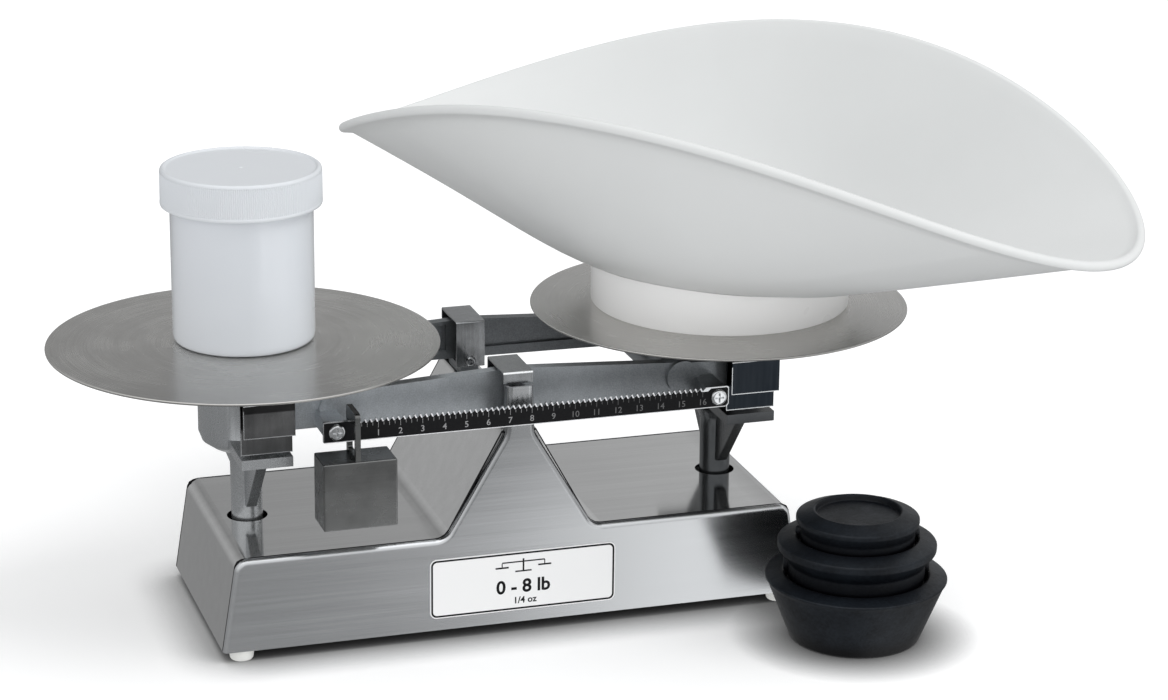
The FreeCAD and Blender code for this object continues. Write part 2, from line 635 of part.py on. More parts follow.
def scoop_loop(place_point, count=48):
    """Closed smooth curve through count points round the scoop."""
    points = [place_point(2 * math.pi * index / count) for index in range(count)]
    curve = Part.BSplineCurve()
    curve.interpolate(Points=points, PeriodicFlag=True)
    return Part.Wire(curve.toShape())


def scoop_bead_point(angle, turn):
    """Point on the rolled rim; turn is the angle round its section, 0 pointing outwards."""
    edge = scoop_surface(1.0, angle)
    round_it = scoop_surface(1.0, angle + 1e-3) - scoop_surface(1.0, angle - 1e-3)
    outward = Vector(round_it.y, -round_it.x, 0).normalize()
    return (edge + outward * (SCOOP_BEAD_RADIUS * math.cos(math.radians(turn)))
            + Z_AXIS * (SCOOP_BEAD_RADIUS * math.sin(math.radians(turn))))


def place_scoop(shape):
    shape.rotate(Vector(0, 0, 0), Z_AXIS, SCOOP_YAW)
    shape.translate(Vector(RING_CENTRE[0], RING_CENTRE[1], 0))
    return shape


def sewn_solid(faces):
    shell = Part.makeShell(faces)
    shell.sewShape()
    solid = Part.Solid(Part.Shell(shell.Faces))
    if solid.Volume < 0:
        solid.reverse()
    return solid


def scoop():
    """Oval dish with a flat bottom, low ends, high sides and a rolled rim."""
    shares = [SCOOP_FLAT + 0.03, 0.46, 0.54, 0.63, 0.72, 0.82, 0.91, 0.975]
    under = [scoop_loop(lambda a, s=s: scoop_point(s, a, 0.0)) for s in shares]
    inside = [scoop_loop(lambda a, s=s: scoop_point(s, a, SCOOP_WALL)) for s in shares]
    bead = [scoop_loop(lambda a, t=t: scoop_bead_point(a, t)) for t in (-80, -35, 10, 55, 100, 145)]
    faces = []
    faces += Part.makeLoft(under, False, False).Faces
    faces += Part.makeLoft(inside, False, False).Faces
    faces += Part.makeLoft([under[-1], bead[0]], False, True).Faces
    faces += Part.makeLoft(bead, False, False).Faces
    faces += Part.makeLoft([bead[-1], inside[-1]], False, True).Faces
    low_under = scoop_loop(lambda a: scoop_surface(SCOOP_FLAT, a))
    low_inside = scoop_loop(lambda a: scoop_surface(SCOOP_FLAT, a) + Z_AXIS * SCOOP_WALL)
    faces += Part.makeLoft([low_under, under[0]], False, True).Faces
    faces += Part.makeLoft([low_inside, inside[0]], False, True).Faces
    faces += [Part.Face(low_under), Part.Face(low_inside)]
    return place_scoop(sewn_solid(faces))


def scoop_ring():
    """Foot ring whose upper edge follows the underside of the scoop."""
    gap = 0.15

    def upper_point(angle, radius):
        along = radius * math.cos(angle)
        across = radius * math.sin(angle)
        rho, oval = scoop_plan_inverse(along, across)
        return Vector(along, across, scoop_surface(rho, oval).z - gap)

    def lower_point(angle, radius):
        return Vector(radius * math.cos(angle), radius * math.sin(angle), PLATE_TOP_Z)

    inner_radius = RING_RADIUS - RING_WALL
    loops = []
    for point, radius in ((lower_point, RING_RADIUS), (upper_point, RING_RADIUS), (upper_point, inner_radius),
                          (lower_point, inner_radius)):
        loops.append(scoop_loop(lambda a, p=point, r=radius: p(a, r)))
    faces = []
    for index in range(4):
        faces += Part.makeRuledSurface(loops[index], loops[(index + 1) % 4]).Faces
    return place_scoop(sewn_solid(faces))


# ---------------------------------------------------------------- weights
def weight_4lb():
    return revolve([(0, 0), (37.8, 0), (38.8, 1), (52.2, 34.6), (53.7, 36.9), (53.2, 37.7), (43.6, 40.0), (42.4, 39.6),
                    (41.0, 35.5), (41.0, 33.0), (0, 33.0)], WEIGHT_CENTRE)


def weight_2lb():
    return revolve([(0, 33.0), (38.0, 33.0), (40.3, 37.0), (40.3, 47.0), (46.2, 54.4), (46.7, 55.4), (46.7, 58.4),
                    (46.2, 59.2), (36.7, 62.4), (35.6, 62.0), (34.6, 58.6), (34.6, 56.6), (0, 56.6)], WEIGHT_CENTRE)


def weight_1lb():
    return revolve([(0, 56.6), (32.4, 56.6), (33.8, 60.0), (33.8, 66.0), (35.8, 70.6), (36.2, 71.6), (36.2, 73.6),
                    (35.7, 74.4), (26.2, 78.1), (25.2, 77.7), (24.4, 75.2), (24.0, 74.6), (0, 74.6)], WEIGHT_CENTRE)


# ---------------------------------------------------------------- write every node
def main():
    os.makedirs("parts", exist_ok=True)
    front = front_panel()
    save("base_cover", base_cover())
    save("front_panel", front)
    save("rear_panel", mirror_y(front))
    save("label_plate", label_plate())
    save("bottom_plate", bottom_plate())
    save("feet", feet())
    save("foot_screws", foot_screws())
    save("fulcrum_supports", fulcrum_supports())
    bracket = fulcrum_bracket()
    save("front_fulcrum_bracket", bracket)
    save("rear_fulcrum_bracket", mirror_y(bracket))
    save("centre_bearings", centre_bearings())
    cap = fulcrum_cap()
    save("front_fulcrum_cap", cap)
    save("rear_fulcrum_cap", mirror_y(cap))
    save("cap_screws", cap_screws())
    save("main_beam", main_beam())
    save("centre_knife_edges", centre_knife_edges())
    save("end_knife_edges", end_knife_edges())
    save("beam_counterweight", beam_counterweight())
    save("tare_bar", tare_bar())
    save("tare_bar_screws", tare_bar_screws())
    save("rider_block", rider_block())
    save("rider_bail", rider_bail())
    for name, side in (("left", -1), ("right", 1)):
        save(name + "_platform_casting", platform_casting(side))
        save(name + "_bearings", end_bearings(side))
        save(name + "_bearing_covers", bearing_covers(side))
        save(name + "_cover_spacers", cover_spacers(side))
        save(name + "_stem_pin", platform_pin(side))
        save(name + "_plate", plate(side))
    save("check_rod", check_rod())
    save("check_bracket", check_bracket())
    save("check_centre_pin", check_centre_pin())
    save("jar_body", jar_body())
    save("jar_lid", jar_lid())
    save("jar_shot", jar_shot())
    save("scoop", scoop())
    save("scoop_ring", scoop_ring())
    save("weight_4lb", weight_4lb())
    save("weight_2lb", weight_2lb())
    save("weight_1lb", weight_1lb())


main()
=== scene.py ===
"""Looks of an equal-arm bench balance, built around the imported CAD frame.

Lengths in the code of the pieces are millimetres. Places in the code of the looks are metres.
"""
import bmesh
import bpy
import math
from mathutils import Matrix, Vector


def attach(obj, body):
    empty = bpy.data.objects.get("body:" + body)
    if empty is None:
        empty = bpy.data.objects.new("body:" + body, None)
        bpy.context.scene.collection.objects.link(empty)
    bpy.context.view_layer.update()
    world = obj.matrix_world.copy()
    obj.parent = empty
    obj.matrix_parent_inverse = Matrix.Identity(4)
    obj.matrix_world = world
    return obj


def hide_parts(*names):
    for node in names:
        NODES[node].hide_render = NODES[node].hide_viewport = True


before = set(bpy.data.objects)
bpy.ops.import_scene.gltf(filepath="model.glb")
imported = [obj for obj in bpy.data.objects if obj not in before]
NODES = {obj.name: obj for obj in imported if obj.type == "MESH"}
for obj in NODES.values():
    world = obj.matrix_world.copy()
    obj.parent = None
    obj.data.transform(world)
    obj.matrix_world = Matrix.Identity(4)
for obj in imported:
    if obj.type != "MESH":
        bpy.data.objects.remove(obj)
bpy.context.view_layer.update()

MM = 0.001
ARM = 146.5


# ================================================================ material building
class Nodes:
    """A node tree. add() makes a node, and a socket given as an input value is linked."""

    def __init__(self, tree, coords):
        self.tree = tree
        self.object_coords = self.add("ShaderNodeTexCoord").outputs[coords]

    def add(self, kind, settings=None, **inputs):
        node = self.tree.nodes.new(kind)
        for key, value in (settings or {}).items():
            setattr(node, key, value)
        for key, value in inputs.items():
            slot = int(key[1:]) if key[0] == "i" and key[1:].isdigit() else key.replace("_", " ")
            self.put(node.inputs[slot], value)
        return node

    def put(self, socket, value):
        if isinstance(value, bpy.types.NodeSocket):
            self.tree.links.new(value, socket)
        else:
            socket.default_value = value

    def coords(self, scale=(1, 1, 1), offset=(0, 0, 0)):
        node = self.add("ShaderNodeMapping", {"vector_type": "POINT"}, Vector=self.object_coords)
        node.inputs["Scale"].default_value = scale
        node.inputs["Location"].default_value = offset
        return node.outputs["Vector"]

    def noise(self, vector, scale, detail, roughness):
        node = self.add("ShaderNodeTexNoise", None, Vector=vector, Scale=scale, Detail=detail,
                        Roughness=roughness)
        return node.outputs["Fac"]

    def math(self, operation, a, b=0.0):
        node = self.add("ShaderNodeMath", {"operation": operation}, i0=a, i1=b)
        return node.outputs[0]

    def blend(self, *parts):
        """Sum of values, each times its share: (value, share), ..."""
        total = None
        for value, share in parts:
            term = self.math("MULTIPLY", value, share)
            total = term if total is None else self.math("ADD", total, term)
        return total

    def spread(self, value, low, high, out_low=0.0, out_high=1.0):
        """Map low..high to out_low..out_high, clamped."""
        node = self.add("ShaderNodeMapRange", None, Value=value)
        for name, number in zip(("From Min", "From Max", "To Min", "To Max"), (low, high, out_low, out_high)):
            node.inputs[name].default_value = number
        return node.outputs["Result"]

    def ramp(self, value, *stops):
        node = self.add("ShaderNodeValToRGB", None, Fac=value)
        elements = node.color_ramp.elements
        while len(elements) < len(stops):
            elements.new(0.5)
        for element, (place, colour) in zip(elements, stops):
            element.position = place
            element.color = (*colour, 1.0)
        return node.outputs["Color"]

    def mix(self, share, a, b, blend="MIX"):
        node = self.add("ShaderNodeMix", {"data_type": "RGBA", "blend_type": blend})
        self.put(node.inputs[0], share)
        self.put(node.inputs[6], a if isinstance(a, bpy.types.NodeSocket) else (*a, 1.0))
        self.put(node.inputs[7], b if isinstance(b, bpy.types.NodeSocket) else (*b, 1.0))
        return node.outputs[2]

    def bump(self, height, strength, distance_mm, below=None):
        node = self.add("ShaderNodeBump", None, Height=height, Strength=strength, Distance=distance_mm * MM)
        if below is not None:
            self.put(node.inputs["Normal"], below)
        return node.outputs["Normal"]


class Shader(Nodes):
    """One node material."""

    def __init__(self, name):
        self.material = bpy.data.materials.new(name)
        self.material.use_nodes = True
        self.bsdf = self.material.node_tree.nodes["Principled BSDF"]
        super().__init__(self.material.node_tree, "Object")

    def surface(self, **inputs):
        for key, value in inputs.items():
            self.put(self.bsdf.inputs[key.replace("_", " ")], value)


def fade(s, axis, low, high, at_low, at_high):
    """Grey level that changes along one axis of the object, between two places in metres."""
    place = s.add("ShaderNodeSeparateXYZ", None, Vector=s.object_coords).outputs[axis]
    return s.spread(place, low, high, at_low, at_high)


def shaded_by(s, colour, fades):
    """Colour times each of the fades."""
    for place in fades:
        colour = s.mix(1.0, colour, fade(s, *place), "MULTIPLY")
    return colour


BRUSH_LENGTH_SCALE = 6.0
BRUSH_BAND_SCALE = 120.0


def brushed_steel(name, dark, light, rough, along, fine=1100.0, strength=0.25, stretch=0.0,
                  across=(0, 0, 1), fades=()):
    """Sheet with straight brush lines; along is the axis of the lines, 0, 1 or 2.

    The gloss is stretched in the direction across.
    """
    s = Shader(name)
    if stretch:
        tangent = s.add("ShaderNodeCombineXYZ", None, X=across[0], Y=across[1], Z=across[2])
        s.surface(Tangent=tangent.outputs[0])
        s.bsdf.inputs["Anisotropic"].default_value = stretch
    scale = [fine, fine, fine]
    scale[along] = BRUSH_LENGTH_SCALE
    lines = s.noise(s.coords(scale), 1.0, 3.0, 0.6)
    wide = list(scale)
    wide[(along + 1) % 3] = BRUSH_BAND_SCALE
    wide[(along + 2) % 3] = BRUSH_BAND_SCALE
    bands = s.noise(s.coords(wide), 1.0, 2.0, 0.5)
    cloud = s.noise(s.coords((9, 9, 9)), 1.0, 2.0, 0.5)
    tone = s.blend((lines, 0.45), (bands, 0.30), (cloud, 0.25))
    colour = shaded_by(s, s.ramp(tone, (0.30, dark), (0.70, light)), fades)
    s.surface(Base_Color=colour, Metallic=1.0,
              Roughness=s.spread(tone, 0.3, 0.7, rough - 0.03, rough + 0.05),
              Normal=s.bump(lines, strength, 0.02))
    return s.material


# Painted shade on the turned steel: darker towards the front.
TURNED_PAINTED_SHADE = ("Y", -0.10, 0.01, 0.72, 1.0)


def turned_steel(name, centre_x, dark, light, rough):
    """Steel brushed in circles round a vertical axis, with faint cloudy handling marks and painted shade that
    darkens it towards the front.
    """
    s = Shader(name)
    place = s.add("ShaderNodeSeparateXYZ", None, Vector=s.coords(offset=(-centre_x * MM, 0, 0)))
    x = place.outputs["X"]
    y = place.outputs["Y"]
    radius = s.math("SQRT", s.math("ADD", s.math("MULTIPLY", x, x), s.math("MULTIPLY", y, y)))
    angle = s.math("ARCTAN2", y, x)

    def rings(across, around, roughness):
        place = s.add("ShaderNodeCombineXYZ", None, X=s.math("MULTIPLY", radius, across),
                      Y=s.math("MULTIPLY", angle, around))
        return s.noise(place.outputs[0], 1.0, 2.0, roughness)

    fine = rings(1500.0, 1.2, 0.6)
    coarse = rings(170.0, 2.0, 0.5)
    cloud = s.noise(s.coords((28, 22, 20)), 1.0, 3.0, 0.5)
    tone = s.blend((fine, 0.34), (coarse, 0.22), (cloud, 0.44))
    colour = shaded_by(s, s.ramp(tone, (0.36, dark), (0.64, light)), [TURNED_PAINTED_SHADE])
    s.surface(Base_Color=colour, Metallic=1.0,
              Roughness=s.spread(tone, 0.3, 0.7, rough - 0.05, rough + 0.08),
              Normal=s.bump(fine, 0.08, 0.02))
    return s.material


def speckled_casting(name, dark, light, rough=0.40, grain_share=0.40, bumps=0.12, fades=()):
    """Cast metal under a thin metallic finish: fine bright grains on a satin blue-grey."""
    s = Shader(name)
    grain = s.noise(s.coords(), 1250.0, 2.0, 0.7)
    blotch = s.noise(s.coords(), 210.0, 3.0, 0.6)
    soft = s.noise(s.coords(), 18.0, 2.0, 0.5)
    tone = s.blend((grain, grain_share), (blotch, 0.15), (soft, 0.85 - grain_share))
    skin = s.bump(blotch, bumps, 0.25)
    colour = shaded_by(s, s.ramp(tone, (0.36, dark), (0.64, light)), fades)
    s.surface(Base_Color=colour, Metallic=0.85,
              Roughness=s.spread(grain, 0.3, 0.7, rough + 0.4 * bumps, rough - 0.6 * bumps),
              Normal=s.bump(grain, bumps, 0.05, skin))
    return s.material


def plated(name, dark, light, rough, scratch_scale=(500, 500, 30), fades=()):
    """Bright plating with faint drawn marks and handling haze."""
    s = Shader(name)
    marks = s.noise(s.coords(scratch_scale), 1.0, 3.0, 0.6)
    haze = s.noise(s.coords(), 55.0, 3.0, 0.6)
    tone = s.blend((marks, 0.5), (haze, 0.5))
    colour = shaded_by(s, s.ramp(tone, (0.35, dark), (0.65, light)), fades)
    s.surface(Base_Color=colour, Metallic=1.0,
              Roughness=s.spread(haze, 0.3, 0.7, rough - 0.04, rough + 0.08),
              Normal=s.bump(marks, 0.10, 0.02))
    return s.material


SCATTER_DEPTH = (0.003, 0.003, 0.003)


def plastic(name, colour, shade, rough, coat=0.0, grain=0.05, scatter=0.0, painted_glow=0.0, fades=()):
    """Moulded plastic with a faint flow variation between two colours, a fine orange-peel skin, and an
    optional faint white glow that is painted light.
    """
    s = Shader(name)
    flow = s.noise(s.coords(), 14.0, 3.0, 0.5)
    peel = s.noise(s.coords(), 420.0, 2.0, 0.5)
    s.surface(Base_Color=shaded_by(s, s.mix(s.spread(flow, 0.3, 0.7), colour, shade), fades),
              Roughness=s.spread(flow, 0.3, 0.7, rough - 0.03, rough + 0.05),
              Normal=s.bump(peel, grain, 0.05))
    s.surface(Coat_Weight=coat, Coat_Roughness=0.12,
              Subsurface_Weight=scatter, Subsurface_Radius=SCATTER_DEPTH,
              Emission_Color=(1.0, 1.0, 1.0, 1.0), Emission_Strength=painted_glow)
    return s.material


IRON_SHADE_REACH = 0.012


def black_iron(name):
    """Blackened cast iron: grainy skin, dull sheen, rubbed patches, small pits, and painted shade that
    darkens the recesses.
    """
    s = Shader(name)
    skin = s.noise(s.coords(), 520.0, 5.0, 0.7)
    lumps = s.noise(s.coords(), 110.0, 4.0, 0.6)
    rubbed = s.noise(s.coords(), 38.0, 4.0, 0.65)
    pits = s.add("ShaderNodeTexVoronoi", {"feature": "F1"}, Vector=s.object_coords, Scale=170.0)
    pit = s.spread(pits.outputs["Distance"], 0.05, 0.22)
    tone = s.blend((skin, 0.4), (rubbed, 0.6))
    bumped = s.bump(lumps, 0.35, 0.5)
    bumped = s.bump(pit, 0.25, 0.15, bumped)
    skin_colour = s.ramp(tone, (0.38, (0.003, 0.004, 0.006)), (0.72, (0.017, 0.022, 0.029)))
    # Painted shade: darker colour where ambient occlusion finds a recess.
    recess_shade_ao = s.add("ShaderNodeAmbientOcclusion", {"samples": 8}, Distance=IRON_SHADE_REACH).outputs["AO"]
    colour = s.mix(s.spread(recess_shade_ao, 0.50, 0.95), (0.001, 0.001, 0.002), skin_colour)
    s.surface(Base_Color=colour, Metallic=0.1, Specular_IOR_Level=0.22,
              Roughness=s.spread(tone, 0.3, 0.7, 0.52, 0.34),
              Normal=s.bump(skin, 0.45, 0.12, bumped))
    return s.material


def ink(name, colour, rough, metal=0.0, fades=()):
    """Print or paint with small worn spots."""
    s = Shader(name)
    wear = s.noise(s.coords(), 700.0, 3.0, 0.6)
    worn = [c * 0.72 + 0.006 for c in colour]
    s.surface(Base_Color=shaded_by(s, s.mix(s.spread(wear, 0.45, 0.75), colour, worn), fades),
              Metallic=metal, Specular_IOR_Level=0.12,
              Roughness=s.spread(wear, 0.3, 0.7, rough - 0.05, rough + 0.1))
    return s.material


PLATE_TONES = ((0.51, 0.50, 0.48), (0.62, 0.61, 0.59))
BALLAST_X = 105.0
# Painted light on the front and rear panels: painted shade darkens them upwards from 62 mm to 122 mm, and a
# painted highlight lightens them again above 138 mm, at the top of the saddle.
FACE_PAINTED_SHADE_AND_HIGHLIGHT = [("Z", 0.062, 0.122, 1.0, 0.62), ("Z", 0.138, 0.146, 1.0, 1.30)]
# Painted shade on the beam and the fulcrum brackets: darker towards the right and towards the back.
BEAM_PAINTED_SHADE = [("X", -0.12, 0.15, 1.0, 0.40), ("Y", -0.03, 0.03, 1.0, 0.46)]

LOOKS = {
    "panel": brushed_steel("brushed_panel", (0.575, 0.585, 0.595), (0.645, 0.655, 0.665), 0.22, 0,
                           1500.0, 0.02, 0.8, fades=FACE_PAINTED_SHADE_AND_HIGHLIGHT),
    # Painted shade: the deck sheet darker towards its right end, from 148 mm to 172 mm.
    "cover": brushed_steel("brushed_cover", (0.58, 0.58, 0.575), (0.70, 0.70, 0.695), 0.10, 0,
                           1300.0, 0.02, 0.5, (0, 1, 0), [("X", 0.148, 0.172, 1.0, 0.66)]),
    "left_plate": turned_steel("turned_left", -ARM, *PLATE_TONES, 0.24),
    "right_plate": turned_steel("turned_right", ARM, *PLATE_TONES, 0.24),
    "casting": speckled_casting("speckled_casting", (0.40, 0.425, 0.445), (0.70, 0.735, 0.77),
                                fades=BEAM_PAINTED_SHADE),
    # Painted light and shade: both platform castings have one satin finish, here in a lighter copy for the
    # left one and a much darker painted-shade copy for the right one.
    "left_casting_painted_light": speckled_casting("left_satin_painted_light", (0.46, 0.47, 0.48), (0.55, 0.565, 0.58), 0.28, 0.20, 0.03),
    "right_casting_painted_shade": speckled_casting("right_satin_painted_shade", (0.095, 0.10, 0.105), (0.135, 0.14, 0.145),
                                      0.24, 0.20, 0.03),
    "plated": plated("bright_plating", (0.26, 0.265, 0.27), (0.38, 0.39, 0.40), 0.14),
    # Painted shade: the bearing covers have the same plating as the fulcrum caps, here in two darker copies,
    # the left one with a dark top band above 148 mm and the right one near black.
    "plated_left_painted_shade": plated("left_plating_painted_shade", (0.15, 0.152, 0.153), (0.21, 0.21, 0.212), 0.16,
                          fades=[("Z", 0.1476, 0.1484, 1.0, 0.22)]),
    "plated_right_painted_shade": plated("right_plating_painted_shade", (0.012, 0.015, 0.019), (0.022, 0.026, 0.031), 0.12),
    # Painted shade on the rider: a little lighter low down and darker towards the top, from 83 mm to 123 mm.
    "rider": plated("nickel_rider", (0.205, 0.207, 0.205), (0.235, 0.238, 0.235), 0.24, (40, 900, 900),
                    [("Z", 0.083, 0.123, 1.15, 0.72)]),
    # Painted highlight: near-white plating for the skins over the sheet bends.
    "sheen": plated("bend_painted_highlight", (0.80, 0.81, 0.82), (0.92, 0.93, 0.94), 0.22),
    "screw": plated("screw_plating", (0.55, 0.56, 0.57), (0.80, 0.81, 0.82), 0.14),
    # Bright metal of the tare bar, also used for the painted highlights along the edges of the bearing
    # covers.
    "bar_metal_and_edge_highlights": plated("bar_edge_and_cover_edge_highlights", (0.55, 0.56, 0.57), (0.78, 0.79, 0.80), 0.18, (30, 600, 600)),
    "ground": brushed_steel("ground_steel", (0.30, 0.30, 0.31), (0.55, 0.55, 0.56), 0.30, 1),
    "galvanised": brushed_steel("plain_sheet", (0.36, 0.37, 0.38), (0.55, 0.56, 0.57), 0.42, 0, 260.0),
    "ballast": turned_steel("turned_ballast", BALLAST_X, (0.20, 0.21, 0.22), (0.36, 0.38, 0.40), 0.38),
    "bar_black": ink("bar_black", (0.008, 0.008, 0.009), 0.42),
    # Painted highlight: near-white over the bare metal of one flank of each notch and of the lower edge of
    # the tare bar.
    "bar_painted_highlight": ink("bar_painted_highlight", (0.95, 0.95, 0.97), 0.30, 0.2),
    "bar_silver": ink("bar_silver", (0.40, 0.40, 0.405), 0.40, 0.3, [("X", -0.005, 0.030, 1.0, 0.40)]),
    # Painted light: the jar lighter towards its right side.
    "jar": plastic("jar_white", (0.775, 0.80, 0.84), (0.75, 0.78, 0.82), 0.22, 0.5, 0.04, 0.06,
                   fades=[("X", -0.150, -0.110, 1.0, 1.15)]),
    "lid": plastic("lid_white", (0.76, 0.785, 0.815), (0.73, 0.755, 0.785), 0.30, 0.3, 0.05, 0.06),
    "scoop": plastic("scoop_white", (0.81, 0.82, 0.815), (0.79, 0.80, 0.795), 0.42, 0.1, 0.06, 0.05),
    # Painted light: the ring has a faint white glow.
    "ring": plastic("ring_white", (0.93, 0.925, 0.915), (0.91, 0.905, 0.895), 0.30, 0.3, 0.04, 0.05, 0.06),
    "foot": plastic("foot_white", (0.85, 0.85, 0.82), (0.78, 0.78, 0.75), 0.35, 0.2, 0.08, 0.3),
    "label": plastic("label_white", (0.96, 0.96, 0.955), (0.94, 0.94, 0.94), 0.45, 0.0, 0.03),
    "label_ink": ink("label_ink", (0.010, 0.010, 0.011), 0.5),
    # Painted shadow: near black for the strips in the gaps of the folded joints.
    "seam": ink("seam_painted_shadow", (0.010, 0.010, 0.011), 0.6),
    "iron": black_iron("black_iron"),
    "shot": black_iron("shot_iron"),
}


# ================================================================ mesh building
def placed(name, mesh, look, body):
    """Object that shows a mesh in one look and rides on a body."""
    mesh.materials.append(LOOKS[look])
    piece = bpy.data.objects.new(name, mesh)
    bpy.context.scene.collection.objects.link(piece)
    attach(piece, body)
    return piece


def mesh_piece(name, points, faces, look, body, sharp_degrees=35.0):
    """New object from points in millimetres."""
    mesh = bpy.data.meshes.new(name)
    mesh.from_pydata([Vector(p) * MM for p in points], [], faces)
    mesh.validate()
    solid = bmesh.new()
    solid.from_mesh(mesh)
    bmesh.ops.remove_doubles(solid, verts=solid.verts, dist=1e-7)
    bmesh.ops.recalc_face_normals(solid, faces=solid.faces)
    solid.to_mesh(mesh)
    solid.free()
    mesh.shade_smooth()
    mesh.set_sharp_from_angle(angle=math.radians(sharp_degrees))
    return placed(name, mesh, look, body)


def grid_faces(rows, columns, close_rows=False):
    """Quads between rows of points; each row is closed."""
    faces = []
    for i in range(rows if close_rows else rows - 1):
        for j in range(columns):
            a = i * columns
            b = (i + 1) % rows * columns
            k = (j + 1) % columns
            faces.append((a + j, a + k, b + k, b + j))
    return faces


def softened(profile, radius, steps):
    """Round the corners of an open (radius, z) line."""
    result = [profile[0]]
    for before, here, after in zip(profile, profile[1:], profile[2:]):
        p, q, r = Vector(before), Vector(here), Vector(after)
        reach = min(radius, (p - q).length * 0.45, (r - q).length * 0.45)
        start = q + (p - q).normalized() * reach
        end = q + (r - q).normalized() * reach
        for i in range(steps + 1):
            t = i / steps
            result.append(tuple(start * (1 - t) ** 2 + q * 2 * t * (1 - t) + end * t * t))
    result.append(profile[-1])
    return result


def lathe(name, profile, centre, look, body, segments=192, wobble=None, sharp_degrees=35.0):
    """Closed turned form; profile runs from the axis round to the axis again."""
    points = []
    for r, z in profile:
        for j in range(segments):
            a = 2 * math.pi * j / segments
            dr, dz = wobble(r, z, a) if wobble else (0.0, 0.0)
            points.append((centre[0] + (r + dr) * math.cos(a), centre[1] + (r + dr) * math.sin(a), z + dz))
    faces = grid_faces(len(profile), segments)
    return mesh_piece(name, points, faces, look, body, sharp_degrees)


def plate_piece(name, boxes, look, body):
    """Thin upright boxes, each (x0, x1, z0, z1, y_back, y_front)."""
    points = []
    faces = []
    for x0, x1, z0, z1, back, front in boxes:
        n = len(points)
        points += [(x0, back, z0), (x1, back, z0), (x1, back, z1), (x0, back, z1),
                   (x0, front, z0), (x1, front, z0), (x1, front, z1), (x0, front, z1)]
        faces += [(n, n + 3, n + 2, n + 1), (n + 4, n + 5, n + 6, n + 7), (n, n + 1, n + 5, n + 4),
                  (n + 1, n + 2, n + 6, n + 5), (n + 2, n + 3, n + 7, n + 6), (n + 3, n, n + 4, n + 7)]
    return mesh_piece(name, points, faces, look, body)


def rounded_outline(x0, x1, z0, z1, radius, steps=8):
    """Rectangle in XZ with rounded corners, as a line of points."""
    corners = [(x1 - radius, z1 - radius, 0), (x0 + radius, z1 - radius, 90), (x0 + radius, z0 + radius, 180),
               (x1 - radius, z0 + radius, 270)]
    line = []
    for cx, cz, start in corners:
        for i in range(steps + 1):
            a = math.radians(start + 90 * i / steps)
            line.append((cx + radius * math.cos(a), cz + radius * math.sin(a)))
    return line


def slab(name, outline, back, front, look, body, hole=None):
    """Thin plate in an XZ outline, or a frame when hole gives a second outline of as many points."""
    count = len(outline)
    if hole:
        rings = [[(x, back, z) for x, z in outline], [(x, front, z) for x, z in outline],
                 [(x, front, z) for x, z in hole], [(x, back, z) for x, z in hole]]
        faces = grid_faces(4, count, True)
    else:
        rings = [[(x, back, z) for x, z in outline], [(x, front, z) for x, z in outline]]
        faces = grid_faces(2, count) + [tuple(range(count)), tuple(range(count, 2 * count))]
    return mesh_piece(name, [p for ring in rings for p in ring], faces, look, body)


def lettering(name, texts, front, look, body, thick=0.06):
    """Upright figures facing -Y; texts holds (string, x of the middle, z of the base line, size, weight)."""
    joined = bmesh.new()
    for text, x, z, size, weight in texts:
        curve = bpy.data.curves.new(name + "_font", "FONT")
        curve.body = text
        curve.align_x = "CENTER"
        curve.size = 1.0
        curve.offset = weight / size
        curve.extrude = thick / size / 2
        curve.resolution_u = 4
        holder = bpy.data.objects.new(name + "_font", curve)
        bpy.context.scene.collection.objects.link(holder)
        bpy.context.view_layer.update()
        mesh = bpy.data.meshes.new_from_object(holder.evaluated_get(bpy.context.evaluated_depsgraph_get()))
        upright = Matrix.Rotation(math.radians(90), 4, "X") @ Matrix.Scale(size * MM, 4)
        mesh.transform(Matrix.Translation((x * MM, front * MM, z * MM)) @ upright)
        joined.from_mesh(mesh)
        bpy.data.objects.remove(holder)
        bpy.data.meshes.remove(mesh)
    mesh = bpy.data.meshes.new(name)
    joined.to_mesh(mesh)
    joined.free()
    mesh.materials.clear()
    return placed(name, mesh, look, body)


# ================================================================ camera, light, floor
CAMERA_TARGET = Vector((61.29, 0.0, 146.25)) * MM
CAMERA_AZIMUTH = math.radians(-17.854)
CAMERA_ELEVATION = math.radians(17.885)
CAMERA_ROLL = math.radians(0.665)
CAMERA_DISTANCE = 1.99274
CAMERA_LENS = 102.16


def add_camera():
    """Camera of the reference view."""
    data = bpy.data.cameras.new("camera")
    data.lens = CAMERA_LENS
    data.sensor_width = 36.0
    data.clip_end = 50.0
    camera = bpy.data.objects.new("camera", data)
    bpy.context.scene.collection.objects.link(camera)
    right = Vector((math.cos(CAMERA_AZIMUTH), math.sin(CAMERA_AZIMUTH), 0))
    level = Vector((-math.sin(CAMERA_AZIMUTH), math.cos(CAMERA_AZIMUTH), 0))
    forward = level * math.cos(CAMERA_ELEVATION) - Vector((0, 0, 1)) * math.sin(CAMERA_ELEVATION)
    up = right.cross(forward)
    rolled_right = right * math.cos(CAMERA_ROLL) + up * math.sin(CAMERA_ROLL)
    rolled_up = up * math.cos(CAMERA_ROLL) - right * math.sin(CAMERA_ROLL)
    turn = Matrix((rolled_right, rolled_up, -forward)).transposed().to_4x4()
    camera.matrix_world = Matrix.Translation(CAMERA_TARGET - forward * CAMERA_DISTANCE) @ turn
    bpy.context.scene.camera = camera


def add_sun(name, direction, strength, angle_degrees):
    """Wide soft light that the metals do not mirror."""
    data = bpy.data.lights.new(name, "SUN")
    data.energy = strength
    data.angle = math.radians(angle_degrees)
    lamp = bpy.data.objects.new(name, data)
    bpy.context.scene.collection.objects.link(lamp)
    lamp.matrix_world = Vector(direction).to_track_quat("Z", "Y").to_matrix().to_4x4()
    lamp.visible_glossy = False


def grey(level):
    """Faintly cool grey."""
    return (level * 0.99, level, level * 1.01)


